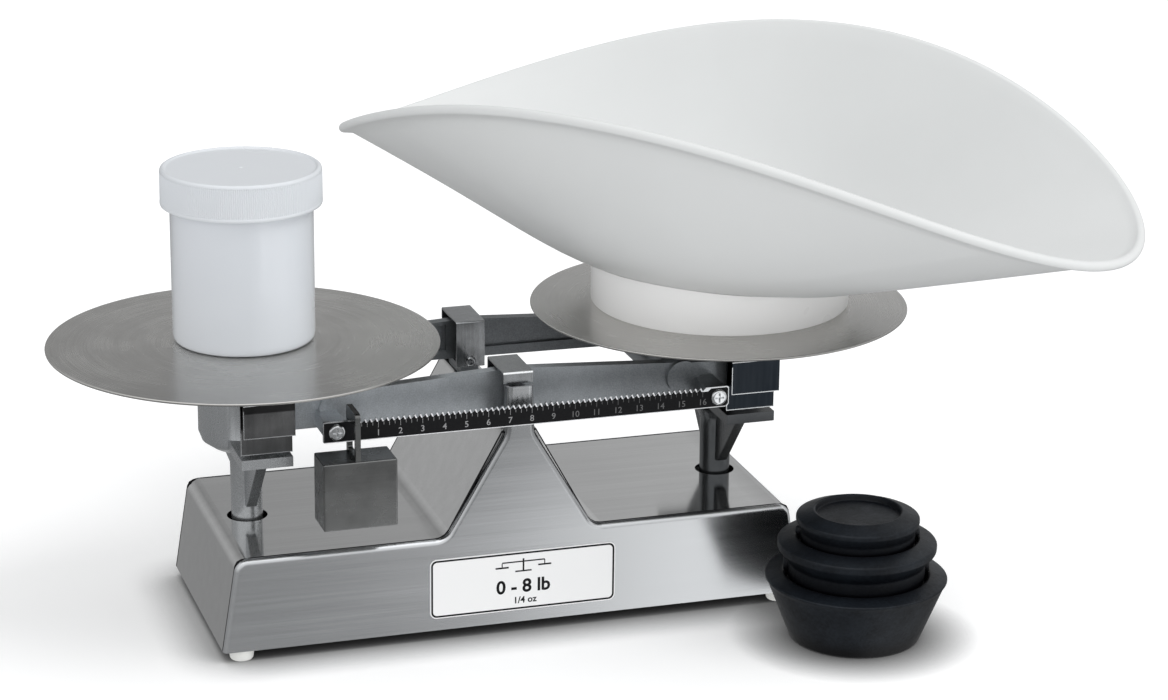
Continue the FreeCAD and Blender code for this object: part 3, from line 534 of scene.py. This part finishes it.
def add_world():
    """Studio surround: soft and even for matt surfaces, with brighter and darker zones for the metals."""
    world = bpy.data.worlds.new("studio")
    bpy.context.scene.world = world
    world.use_nodes = True
    s = Nodes(world.node_tree, "Generated")
    split = s.add("ShaderNodeSeparateXYZ", None, Vector=s.object_coords).outputs
    height = s.spread(split["Z"], -1.0, 1.0)
    soft = s.ramp(height, (0.0, grey(0.76)), (0.40, grey(0.90)), (0.58, grey(0.76)), (1.0, grey(0.60)))
    ahead = s.math("ARCTAN2", split["X"], s.math("MULTIPLY", split["Y"], -1.0))
    low_front = s.ramp(s.spread(ahead, -0.2, 0.6), (0.0, grey(0.32)), (0.58, grey(0.27)), (0.63, grey(0.36)),
                       (0.664, grey(1.60)), (0.78, grey(1.15)), (1.0, grey(0.8)))
    high_front = s.ramp(height, (0.0, grey(0.5)), (0.45, grey(0.5)), (0.6, grey(0.95)), (0.85, grey(1.1)),
                        (0.95, grey(1.9)), (1.0, grey(1.9)))
    front = s.mix(s.spread(split["Z"], -0.2, 0.0), low_front, high_front)
    behind = s.math("ARCTAN2", split["X"], split["Y"])
    low_back = s.ramp(height, (0.0, grey(0.26)), (0.38, grey(0.31)), (0.46, grey(0.42)), (0.52, grey(0.46)))
    deck_back = s.ramp(s.spread(behind, -0.6, 0.6), (0.0, grey(0.62)), (0.40, grey(0.30)), (0.62, grey(0.34)),
                       (0.70, grey(0.40)), (0.80, grey(0.55)), (1.0, grey(0.60)))
    high_back = s.ramp(height, (0.0, grey(0.5)), (0.75, grey(0.7)), (0.9, grey(1.1)), (0.95, grey(1.9)),
                       (1.0, grey(1.9)))
    back = s.mix(s.spread(split["Z"], 0.0, 0.12), low_back, deck_back)
    back = s.mix(s.spread(split["Z"], 0.42, 0.6), back, high_back)
    sharp_zones = s.mix(s.spread(split["Y"], -0.3, 0.3), front, back)
    glossy = s.add("ShaderNodeLightPath").outputs["Is Glossy Ray"]
    s.put(s.tree.nodes["Background"].inputs["Color"], s.mix(glossy, soft, sharp_zones))
    s.tree.nodes["Background"].inputs["Strength"].default_value = 1.0


FLOOR_HALF = 30.0
PAINTED_SHADOW_REACH = 0.034
PAINTED_SHADOW_DEPTH = 0.75
FLOOR_GLOW = 0.34


def add_floor():
    """Pale floor with a painted shadow close to the object, that metals and plastics do not mirror."""
    s = Shader("pale_floor")
    tone = s.noise(s.coords(), 1.5, 2.0, 0.5)
    pale = s.mix(tone, (0.93, 0.93, 0.93), (0.95, 0.95, 0.95))
    # Painted shadow: ambient occlusion darkens the floor close to the object.
    near = s.add("ShaderNodeAmbientOcclusion", {"samples": 12}, Color=pale, Distance=PAINTED_SHADOW_REACH)
    pale_with_painted_shadow = s.mix(PAINTED_SHADOW_DEPTH, near.outputs["Color"], near.outputs["Color"], "MULTIPLY")
    s.surface(Base_Color=pale_with_painted_shadow, Roughness=0.9, Specular_IOR_Level=0.0,
              Emission_Color=pale_with_painted_shadow, Emission_Strength=FLOOR_GLOW)
    mesh = bpy.data.meshes.new("floor")
    half = FLOOR_HALF
    corners = [(-half, -half, 0), (half, -half, 0), (half, half, 0), (-half, half, 0)]
    mesh.from_pydata(corners, [], [(0, 1, 2, 3)])
    mesh.materials.append(s.material)
    floor = bpy.data.objects.new("floor", mesh)
    bpy.context.scene.collection.objects.link(floor)
    floor.visible_glossy = False
    floor.visible_diffuse = False


add_camera()
add_world()
add_floor()
add_sun("key", (0.62, -0.35, 1.0), 1.05, 40)
add_sun("fill", (-0.4, -0.9, 0.15), 0.60, 60)
bpy.context.scene.view_settings.view_transform = "Standard"


# ================================================================ CAD nodes that stay
KEPT = {
    "cover": ["base_cover"],
    "panel": ["front_panel", "rear_panel"],
    "label": ["label_plate"],
    "galvanised": ["bottom_plate", "fulcrum_supports", "check_bracket", "check_rod", "left_cover_spacers",
                   "right_cover_spacers"],
    "foot": ["feet"],
    "screw": ["foot_screws", "tare_bar_screws"],
    "casting": ["front_fulcrum_bracket", "rear_fulcrum_bracket", "main_beam"],
    "left_casting_painted_light": ["left_platform_casting"],
    "right_casting_painted_shade": ["right_platform_casting"],
    "ground": ["centre_bearings", "check_centre_pin", "centre_knife_edges", "end_knife_edges",
               "left_bearings", "right_bearings", "left_stem_pin", "right_stem_pin"],
    "plated": ["front_fulcrum_cap", "rear_fulcrum_cap", "cap_screws"],
    "plated_left_painted_shade": ["left_bearing_covers"],
    "plated_right_painted_shade": ["right_bearing_covers"],
    "ballast": ["beam_counterweight"],
    "bar_metal_and_edge_highlights": ["tare_bar"],
    "rider": ["rider_block", "rider_bail"],
    "shot": ["jar_shot"],
}
BEVELS = {"main_beam": 0.8, "left_platform_casting": 1.4, "right_platform_casting": 1.4,
          "front_fulcrum_cap": 0.3, "rear_fulcrum_cap": 0.3, "left_bearing_covers": 0.3,
          "right_bearing_covers": 0.3}


def dress(node, look):
    """Give a CAD node its look, and soft edges where the real part has them."""
    cad = NODES[node]
    cad.data.materials.clear()
    cad.data.materials.append(LOOKS[look])
    if node in BEVELS:
        weld = cad.modifiers.new("weld", "WELD")
        weld.merge_threshold = 1e-6
        bevel = cad.modifiers.new("bevel", "BEVEL")
        bevel.width = BEVELS[node] * MM
        bevel.segments = 2
        bevel.limit_method = "ANGLE"
        bevel.angle_limit = math.radians(38)
        bevel.use_clamp_overlap = True


SEAM_OUTLINE = [(-177.0, 7.0), (-168.9, 58.0), (-167.6, 60.6), (-164.8, 62.0), (-160.0, 62.36),
                (-50.6, 62.36), (-47.34, 62.93), (-44.5, 64.58), (-42.3, 67.2), (-12.1, 121.5),
                (-10.4, 124.6)]
SEAM_WIDTH = 0.9
SEAM_Y = (68.5, 69.7)


def add_seam(name, y_low, y_high):
    """Painted shadow in the folded joint between a face and the wrapped sheet: a dark strip in the gap, up
    both slopes of the saddle.
    """
    line = SEAM_OUTLINE + [(-x, z) for x, z in reversed(SEAM_OUTLINE)]
    points = []
    for y in (y_low, y_high):
        points += [(x, y, z) for x, z in line] + [(x * 0.995, y, z - SEAM_WIDTH) for x, z in line]
    n = len(line)
    faces = []
    for i in range(n - 1):
        faces += [(i, i + 1, 2 * n + i + 1, 2 * n + i), (n + i, 3 * n + i, 3 * n + i + 1, n + i + 1),
                  (i, n + i, n + i + 1, i + 1), (2 * n + i, 2 * n + i + 1, 3 * n + i + 1, 3 * n + i)]
    faces += [(0, 2 * n, 3 * n, n), (n - 1, 2 * n - 1, 4 * n - 1, 3 * n - 1)]
    mesh_piece(name, points, faces, "seam", "base")


for look, names in KEPT.items():
    for node_name in names:
        dress(node_name, look)
add_seam("front_seam_shadow", -SEAM_Y[1], -SEAM_Y[0])
add_seam("rear_seam_shadow", *SEAM_Y)


# ================================================================ plates
PLATE_RADIUS = 114.25
PLATE_TOP = 169.9
PLATE_THICKNESS = 1.5
SPUD_RADIUS = 8.0
SPUD_LOW = PLATE_TOP - 10.5


def add_plate(side, x):
    """Round plate with a full-round rim and a centre spud under it."""
    top = PLATE_TOP
    rim = PLATE_RADIUS
    half = PLATE_THICKNESS / 2
    bead = [(rim - half + half * math.sin(t), top - half + half * math.cos(t))
            for t in (math.radians(18 * i) for i in range(11))]
    profile = [(0.0, top), (40.0, top), (80.0, top), (rim - 1.2, top)] + bead
    profile += [(SPUD_RADIUS, top - PLATE_THICKNESS), (SPUD_RADIUS, SPUD_LOW + 1.0),
                (SPUD_RADIUS - 1.0, SPUD_LOW), (0.0, SPUD_LOW)]
    name = side + "_plate"
    piece = lathe(name + "_turned", profile, (x, 0), name, name, 256)
    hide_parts(name)


add_plate("left", -ARM)
add_plate("right", ARM)


# ================================================================ jar
JAR_CENTRE = (-144.4, 7.5)
JAR_RADIUS = 41.4
JAR_TOP = 270.3
THREAD_LOWS = (255.3, 261.3)
LID_RADIUS = 46.8
LID_TOP = 273.0
LID_BOTTOM = 251.3
LID_RIBS = 236
RIB_DEPTH = 0.42


def add_jar():
    """Straight jar with a raised foot edge and two thread turns under the lid."""
    r = JAR_RADIUS
    z0 = PLATE_TOP
    outer = [(0, z0 + 1.2), (r - 7, z0 + 1.2), (r - 5.5, z0), (r - 3.0, z0), (r - 1.2, z0 + 0.7),
             (r - 0.3, z0 + 2.2), (r, z0 + 4.5)]
    for z in THREAD_LOWS:
        outer += [(r, z), (r + 1.8, z + 1.0), (r + 1.8, z + 2.4), (r, z + 3.4)]
    outer += [(r, JAR_TOP), (r - 1.6, JAR_TOP), (r - 1.6, z0 + 4.0), (r - 3.5, z0 + 1.7), (0, z0 + 1.7)]
    body = lathe("jar_body_moulded", softened(outer, 0.5, 2), JAR_CENTRE, "jar", "jar")
    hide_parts("jar_body")


def add_lid():
    """Screw lid: ribbed skirt, raised edge and a flat recessed top with a small moulding mark."""
    r = LID_RADIUS
    top = LID_TOP
    low = LID_BOTTOM

    def ribs(radius, z, angle):
        """Fine upright ribs on the skirt, fading at its lower bead and its shoulder."""
        if radius < r - 1.3 or z < low + 2.2 or z > top - 2.2:
            return 0.0, 0.0
        return -RIB_DEPTH * (0.5 - 0.5 * math.cos(LID_RIBS * angle)) ** 0.8, 0.0

    under = [(0, top - 2.6)]
    skirt = [(r - 2.0, top - 2.6), (r - 2.0, low + 1.5), (r - 1.2, low + 0.2), (r - 0.2, low + 0.3),
             (r, low + 0.9), (r, low + 1.9), (r - 0.25, low + 2.15), (r - 0.1, low + 2.6),
             (r - 0.1, top - 2.8), (r - 0.25, top - 2.3)]
    crown = [(r - 0.25, top - 1.7), (r - 0.6, top - 0.8), (r - 1.4, top - 0.2), (r - 2.2, top),
             (r - 2.9, top - 0.1), (r - 3.4, top - 0.75), (r - 4.2, top - 0.85), (r - 5.0, top - 0.85),
             (r - 12.0, top - 0.85), (8.0, top - 0.85), (1.9, top - 0.85), (1.3, top - 0.85),
             (1.0, top - 0.6), (0, top - 0.5)]
    lid = lathe("jar_lid_ribbed", under + skirt + crown, JAR_CENTRE, "lid", "jar_lid",
                LID_RIBS * 6, ribs, 50.0)
    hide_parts("jar_lid")


add_jar()
add_lid()


# ================================================================ scoop and ring
RING_CENTRE = (149.8, 7.4)
RING_RADIUS = 78.4
RING_WALL = 3.0
SCOOP_YAW = math.radians(-52.4)
PLAN_LONG = (244.9, 21.9)
PLAN_CROSS = (161.2, 8.5)
RIM_Z = (279.7, -34.8, -4.8)
SCOOP_BOTTOM = 192.8
SCOOP_FLAT = 0.37
LONG_POWER = 1.05
CROSS_POWER = 2.12
SCOOP_WALL = 2.6
BEAD_RADIUS = 2.97
SCOOP_AROUND = 224
SCOOP_RIM_SHARE = 0.975
SCOOP_SIDE_ROWS = 30


def scoop_surface(rho, a):
    """Underside of the scoop in its own plan axes; rho is 0 in the middle and 1 at the rim."""
    rim = RIM_Z[0] + RIM_Z[1] * math.cos(2 * a) + RIM_Z[2] * math.cos(4 * a)
    power = LONG_POWER * math.cos(a) ** 2 + CROSS_POWER * math.sin(a) ** 2
    climb = max(rho - SCOOP_FLAT, 0.0) / (1 - SCOOP_FLAT)
    x = rho * (PLAN_LONG[0] * math.cos(a) + PLAN_LONG[1] * math.cos(3 * a))
    y = rho * (PLAN_CROSS[0] * math.sin(a) + PLAN_CROSS[1] * math.sin(3 * a))
    ease = climb ** power if climb > 0.06 else climb ** 2 * 0.06 ** (power - 2)
    return Vector((x, y, SCOOP_BOTTOM + (rim - SCOOP_BOTTOM) * ease))


def scoop_inside(rho, a, wall):
    """Inner face of the scoop, one wall above its underside."""
    step = 2e-3
    out = scoop_surface(rho + step, a) - scoop_surface(rho - step, a)
    along = scoop_surface(rho, a + step) - scoop_surface(rho, a - step)
    normal = out.cross(along).normalized()
    return scoop_surface(rho, a) + normal * (wall if normal.z > 0 else -wall)


def scoop_place(p):
    """From the scoop's own plan axes to the frame."""
    c, s = math.cos(SCOOP_YAW), math.sin(SCOOP_YAW)
    return (RING_CENTRE[0] + p.x * c - p.y * s, RING_CENTRE[1] + p.x * s + p.y * c, p.z)


def add_scoop():
    """Oval bowl with a flat bottom, two high sides and a rolled rim."""
    shares = [0.02, 0.15, 0.28]
    shares += [SCOOP_FLAT + (SCOOP_RIM_SHARE - SCOOP_FLAT) * i / SCOOP_SIDE_ROWS
               for i in range(SCOOP_SIDE_ROWS + 1)]
    angles = [2 * math.pi * j / SCOOP_AROUND for j in range(SCOOP_AROUND)]
    rows = [[scoop_surface(rho, a) for a in angles] for rho in shares]
    bead = []
    for turn in range(-80, 150, 16):
        t = math.radians(turn)
        row = []
        for a in angles:
            edge = scoop_surface(1.0, a)
            round_it = scoop_surface(1.0, a + 1e-3) - scoop_surface(1.0, a - 1e-3)
            outward = Vector((round_it.y, -round_it.x, 0)).normalized()
            upward = Vector((0, 0, BEAD_RADIUS * math.sin(t)))
            row.append(edge + outward * (BEAD_RADIUS * math.cos(t)) + upward)
        bead.append(row)
    inside = [[scoop_inside(rho, a, SCOOP_WALL) for a in angles] for rho in reversed(shares)]
    rows = rows + bead + inside
    points = [scoop_place(p) for row in rows for p in row]
    faces = grid_faces(len(rows), SCOOP_AROUND)
    faces.append(tuple(range(SCOOP_AROUND)))
    faces.append(tuple(range((len(rows) - 1) * SCOOP_AROUND, len(rows) * SCOOP_AROUND)))
    piece = mesh_piece("scoop_moulded", points, faces, "scoop", "scoop", 40.0)
    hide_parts("scoop")


def plan_inverse(along, across):
    """Scoop share and angle under a point of the plan, by repeated correction."""
    rho = 0.0
    a = 0.0
    for _ in range(60):
        x = (along - rho * PLAN_LONG[1] * math.cos(3 * a)) / PLAN_LONG[0]
        y = (across - rho * PLAN_CROSS[1] * math.sin(3 * a)) / PLAN_CROSS[0]
        rho = math.hypot(x, y)
        a = math.atan2(y, x)
    return rho, a


def add_ring():
    """Foot ring whose upper edge follows the underside of the scoop."""
    r, w, z0 = RING_RADIUS, RING_WALL, PLATE_TOP
    columns = 256
    section = [(r - w, None), (r - w, z0 + 0.5), (r - w + 0.4, z0), (r - 0.5, z0), (r, z0 + 0.7), (r, None)]
    points = []
    for radius, z in section:
        for j in range(columns):
            a = 2 * math.pi * j / columns
            x, y = radius * math.cos(a), radius * math.sin(a)
            level = scoop_surface(*plan_inverse(x, y)).z - 0.2 if z is None else z
            points.append(scoop_place(Vector((x, y, level))))
    faces = grid_faces(len(section), columns, True)
    piece = mesh_piece("scoop_ring_moulded", points, faces, "ring", "scoop", 40.0)
    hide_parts("scoop_ring")


add_scoop()
add_ring()


# ================================================================ weights
WEIGHT_CENTRE = (188.5, -130.3)
LUG_ANGLE = math.radians(-17.854)
LUG_REACH = 2.6
LUG_HALF_WIDTH = 3.4
WEIGHTS = {
    "weight_4lb": [(0, 0.0), (37.8, 0), (38.8, 1), (52.2, 34.6), (53.7, 36.9), (53.2, 37.7), (43.6, 40.0),
                   (42.4, 39.6), (41.0, 35.5), (41.0, 33.0), (0, 33.0)],
    "weight_2lb": [(0, 33.0), (38.0, 33.0), (40.3, 37.0), (40.3, 47.0), (46.2, 54.4), (46.7, 55.4),
                   (46.7, 58.4), (46.2, 59.2), (36.7, 62.4), (35.6, 62.0), (34.6, 58.6), (34.6, 56.6),
                   (0, 56.6)],
    "weight_1lb": [(0, 56.6), (32.4, 56.6), (33.8, 60.0), (33.8, 66.0), (35.8, 70.6), (36.2, 71.6),
                   (36.2, 73.6), (35.7, 74.4), (26.2, 78.1), (25.2, 77.7), (24.4, 75.2), (24.0, 74.6),
                   (0, 74.6)],
}


def cast_wobble(r, z, a):
    """Slight unevenness of a sand casting, never outwards."""
    if r < 1.0:
        return 0.0, 0.0
    wave = (math.sin(3 * a + z * 0.13) + 0.6 * math.sin(7 * a + 1.3 + z * 0.31)
            + 0.4 * math.sin(13 * a + z * 0.7))
    return -0.09 * (wave + 2.0) * 0.5, 0.0


for weight, profile in WEIGHTS.items():
    piece = lathe(weight + "_cast", softened(profile, 0.9, 3), WEIGHT_CENTRE, "iron", weight,
                  160, cast_wobble, 60.0)
    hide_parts(weight)


def add_lugs(weight, waist, low, high):
    """Two small rounded lugs cast on opposite sides of a weight's waist."""
    points = []
    faces = []
    rows = [(low, 0.85), (low + 0.5, 1.0), (high - 1.0, 1.0), (high - 0.3, 0.85), (high, 0.55)]
    for angle in (LUG_ANGLE, LUG_ANGLE + math.pi):
        outward = Vector((math.cos(angle), math.sin(angle), 0))
        aside = Vector((-outward.y, outward.x, 0))
        n = len(points)
        for z, share in rows:
            for i in range(9):
                t = math.pi * i / 8
                place = outward * (waist - 1.0 + (LUG_REACH + 1.0) * share * math.sin(t))
                place += aside * (LUG_HALF_WIDTH * share * math.cos(t))
                points.append((WEIGHT_CENTRE[0] + place.x, WEIGHT_CENTRE[1] + place.y, z))
        for k in range(len(rows) - 1):
            a = n + 9 * k
            faces += [(a + i, a + i + 1, a + i + 10, a + i + 9) for i in range(8)]
            faces.append((a, a + 9, a + 17, a + 8))
        faces += [tuple(range(n, n + 9)), tuple(range(n + 36, n + 45))]
    mesh_piece(weight + "_lugs", points, faces, "iron", weight, 60.0)


add_lugs("weight_2lb", 40.3, 40.2, 48.5)
add_lugs("weight_1lb", 33.8, 62.6, 67.5)


# ================================================================ painted highlights on the edges and bends of the sheet covers
CAP_TOP = 159.2
COVER_TOP = 153.6
CAP_Y = 67.4
CAP_HALF = 9.0
COVER_HALF = 15.0
COVER_FLANGES = ((67.2, 133.0, 150.0), (58.7, 120.5, 134.0))
EDGE_HIGHLIGHT_WIDTH = 0.45
BEND_RADIUS = 1.14
BEND_STEPS = 6


def add_cover_edges(side, x):
    """Painted highlights along the edges of the two bearing covers on one platform: bright strips on the
    lower and left edges of each flange.

    COVER_FLANGES gives the outer y, the lower edge and the top of the left edge of each flange.
    """
    boxes = []
    for rear in (False, True):
        for outer, low, side_top in COVER_FLANGES:
            back, front = (outer, outer + 0.05) if rear else (-outer, -outer - 0.05)
            left = x - COVER_HALF
            boxes.append((left, x + COVER_HALF, low, low + EDGE_HIGHLIGHT_WIDTH, back, front))
            boxes.append((left, left + 0.4, low + EDGE_HIGHLIGHT_WIDTH, side_top, back, front))
    plate_piece(side + "_cover_edge_highlights", boxes, "bar_metal_and_edge_highlights", side + "_platform")


add_cover_edges("left", -ARM)
add_cover_edges("right", ARM)


def add_bend_sheen(name, x, half, y_out, top, body):
    """Painted highlight on the bends of a front and a rear cover: a bright skin over the edge between top and
    outer flange.
    """
    radius = BEND_RADIUS
    points = []
    faces = []
    for side in (-1, 1):
        n = len(points)
        for i in range(BEND_STEPS + 1):
            turn = math.radians(8.0 + 12.0 * i)
            for skin in (0.04, 0.0):
                y = y_out - radius + (radius + skin) * math.cos(turn)
                z = top - radius + (radius + skin) * math.sin(turn)
                points += [(x - half, side * y, z), (x + half, side * y, z)]
        for i in range(BEND_STEPS):
            a, b = n + 4 * i, n + 4 * i + 4
            faces += [(a, a + 1, b + 1, b), (a + 2, b + 2, b + 3, a + 3), (a, b, b + 2, a + 2),
                      (a + 1, a + 3, b + 3, b + 1)]
        last = n + 4 * BEND_STEPS
        faces += [(n, n + 2, n + 3, n + 1), (last, last + 1, last + 3, last + 2)]
    mesh_piece(name, points, faces, "sheen", body)


add_bend_sheen("fulcrum_cap_bends", 0.0, CAP_HALF - 0.1, CAP_Y, CAP_TOP, "base")
add_bend_sheen("left_cover_bends", -ARM, COVER_HALF - 0.1, COVER_FLANGES[0][0], COVER_TOP, "left_platform")
add_bend_sheen("right_cover_bends", ARM, COVER_HALF - 0.1, COVER_FLANGES[0][0], COVER_TOP, "right_platform")


# ================================================================ tare bar face, marks and figures
BAR_FRONT = -81.0
BAR_X = (-118.7, 124.6)
BAR_Z = (131.4, 144.0)
NOTCH_ROOT_Z = 141.8
NOTCH_START = -100.7
NOTCH_PITCH = 3.25
OUNCE_PITCH = 13.0
FIRST_OUNCE_X = -99.7 + 13.0
NOTCHES = 64


def add_bar_face():
    """Black face, quarter-ounce marks and ounce figures, with painted highlights on one flank of each notch
    and along the lower edge.
    """
    x0, x1 = BAR_X
    low = BAR_Z[0] + 0.5
    outline = [(x0 + 0.35, low), (x1 - 1.9, low), (x1 - 0.5, low + 1.4), (x1 - 0.5, BAR_Z[1] - 1.6)]
    outline += [(x1 - 1.3, BAR_Z[1] - 0.8), (x1 - 11.0, BAR_Z[1] - 0.8), (x1 - 13.0, NOTCH_ROOT_Z - 0.2)]
    flanks = []
    for notch in range(NOTCHES, -1, -1):
        x = NOTCH_START + notch * NOTCH_PITCH
        root = x + 0.30 * NOTCH_PITCH
        outline += [(root - 0.2, NOTCH_ROOT_Z - 0.3), (x - 0.15, BAR_Z[1] - 0.45)]
        flanks.append([(x, BAR_Z[1]), (x - 0.75, BAR_Z[1] - 0.35), (root - 0.8, NOTCH_ROOT_Z),
                       (root, NOTCH_ROOT_Z)])
    outline += [(x0 + 16.5, BAR_Z[1] - 0.7), (x0 + 0.35, BAR_Z[1] - 0.7)]
    slab("tare_bar_face", outline, BAR_FRONT + 0.02, BAR_FRONT - 0.10, "bar_black", "beam")
    points = []
    faces = []
    for flank in flanks:
        n = len(points)
        points += [(x, BAR_FRONT + 0.02, z) for x, z in flank]
        points += [(x, BAR_FRONT - 0.14, z) for x, z in flank]
        faces += [(n, n + 1, n + 2, n + 3), (n + 4, n + 7, n + 6, n + 5)]
        faces += [(n + i, n + (i + 1) % 4, n + 4 + (i + 1) % 4, n + 4 + i) for i in range(4)]
    mesh_piece("tare_bar_flanks", points, faces, "bar_painted_highlight", "beam")
    edge = (x0 + 0.6, x1 - 2.3, BAR_Z[0] + 0.03, BAR_Z[0] + 0.45, BAR_FRONT, BAR_FRONT - 0.12)
    plate_piece("tare_bar_lower_edge", [edge], "bar_painted_highlight", "beam")
    marks = []
    mark_top = NOTCH_ROOT_Z - 0.4
    for quarter in range(NOTCHES + 1):
        x = FIRST_OUNCE_X - OUNCE_PITCH + quarter * OUNCE_PITCH / 4
        length = 3.0 if quarter % 4 == 0 else (2.2 if quarter % 2 == 0 else 1.6)
        marks.append((x - 0.12, x + 0.12, mark_top - length, mark_top, BAR_FRONT, BAR_FRONT - 0.16))
    plate_piece("tare_bar_marks", marks, "bar_silver", "beam")
    figures = [(str(n), FIRST_OUNCE_X + (n - 1) * OUNCE_PITCH, 133.6, 5.2, 0.02) for n in range(1, 17)]
    lettering("tare_bar_figures", figures, BAR_FRONT - 0.14, "bar_silver", "beam")


add_bar_face()


# ================================================================ label
LABEL = (-54.6, 58.5, 14.0, 50.7)
LABEL_FRONT = -73.4


def add_label():
    """Border, capacity, smallest mark and a small drawing of a balance."""
    x0, x1, z0, z1 = LABEL
    mid = (x0 + x1) / 2
    outer = rounded_outline(x0 + 0.6, x1 - 0.6, z0 + 0.6, z1 - 0.6, 3.4)
    inner = rounded_outline(x0 + 1.7, x1 - 1.7, z0 + 1.7, z1 - 1.7, 2.5)
    slab("label_border", outer, LABEL_FRONT + 0.02, LABEL_FRONT - 0.05, "label_ink", "base", inner)
    texts = [("0 - 8 lb", mid, 25.2, 11.5, 0.28), ("1/4 oz", mid + 1, 18.4, 5.6, 0.12)]
    lettering("label_figures", texts, LABEL_FRONT - 0.03, "label_ink", "base")
    z = 38.6
    sign = [(mid - 13, mid + 13, z + 5.4, z + 6.2), (mid - 0.5, mid + 0.5, z, z + 7.6),
            (mid - 5, mid + 5, z - 0.6, z + 0.3), (mid - 17, mid - 9, z + 2.2, z + 3.2),
            (mid + 9, mid + 17, z + 2.2, z + 3.2),
            (mid - 13.3, mid - 12.7, z + 3.0, z + 5.6), (mid + 12.7, mid + 13.3, z + 3.0, z + 5.6)]
    boxes = [(a, b, c, d, LABEL_FRONT + 0.02, LABEL_FRONT - 0.05) for a, b, c, d in sign]
    plate_piece("label_sign", boxes, "label_ink", "base")


add_label()
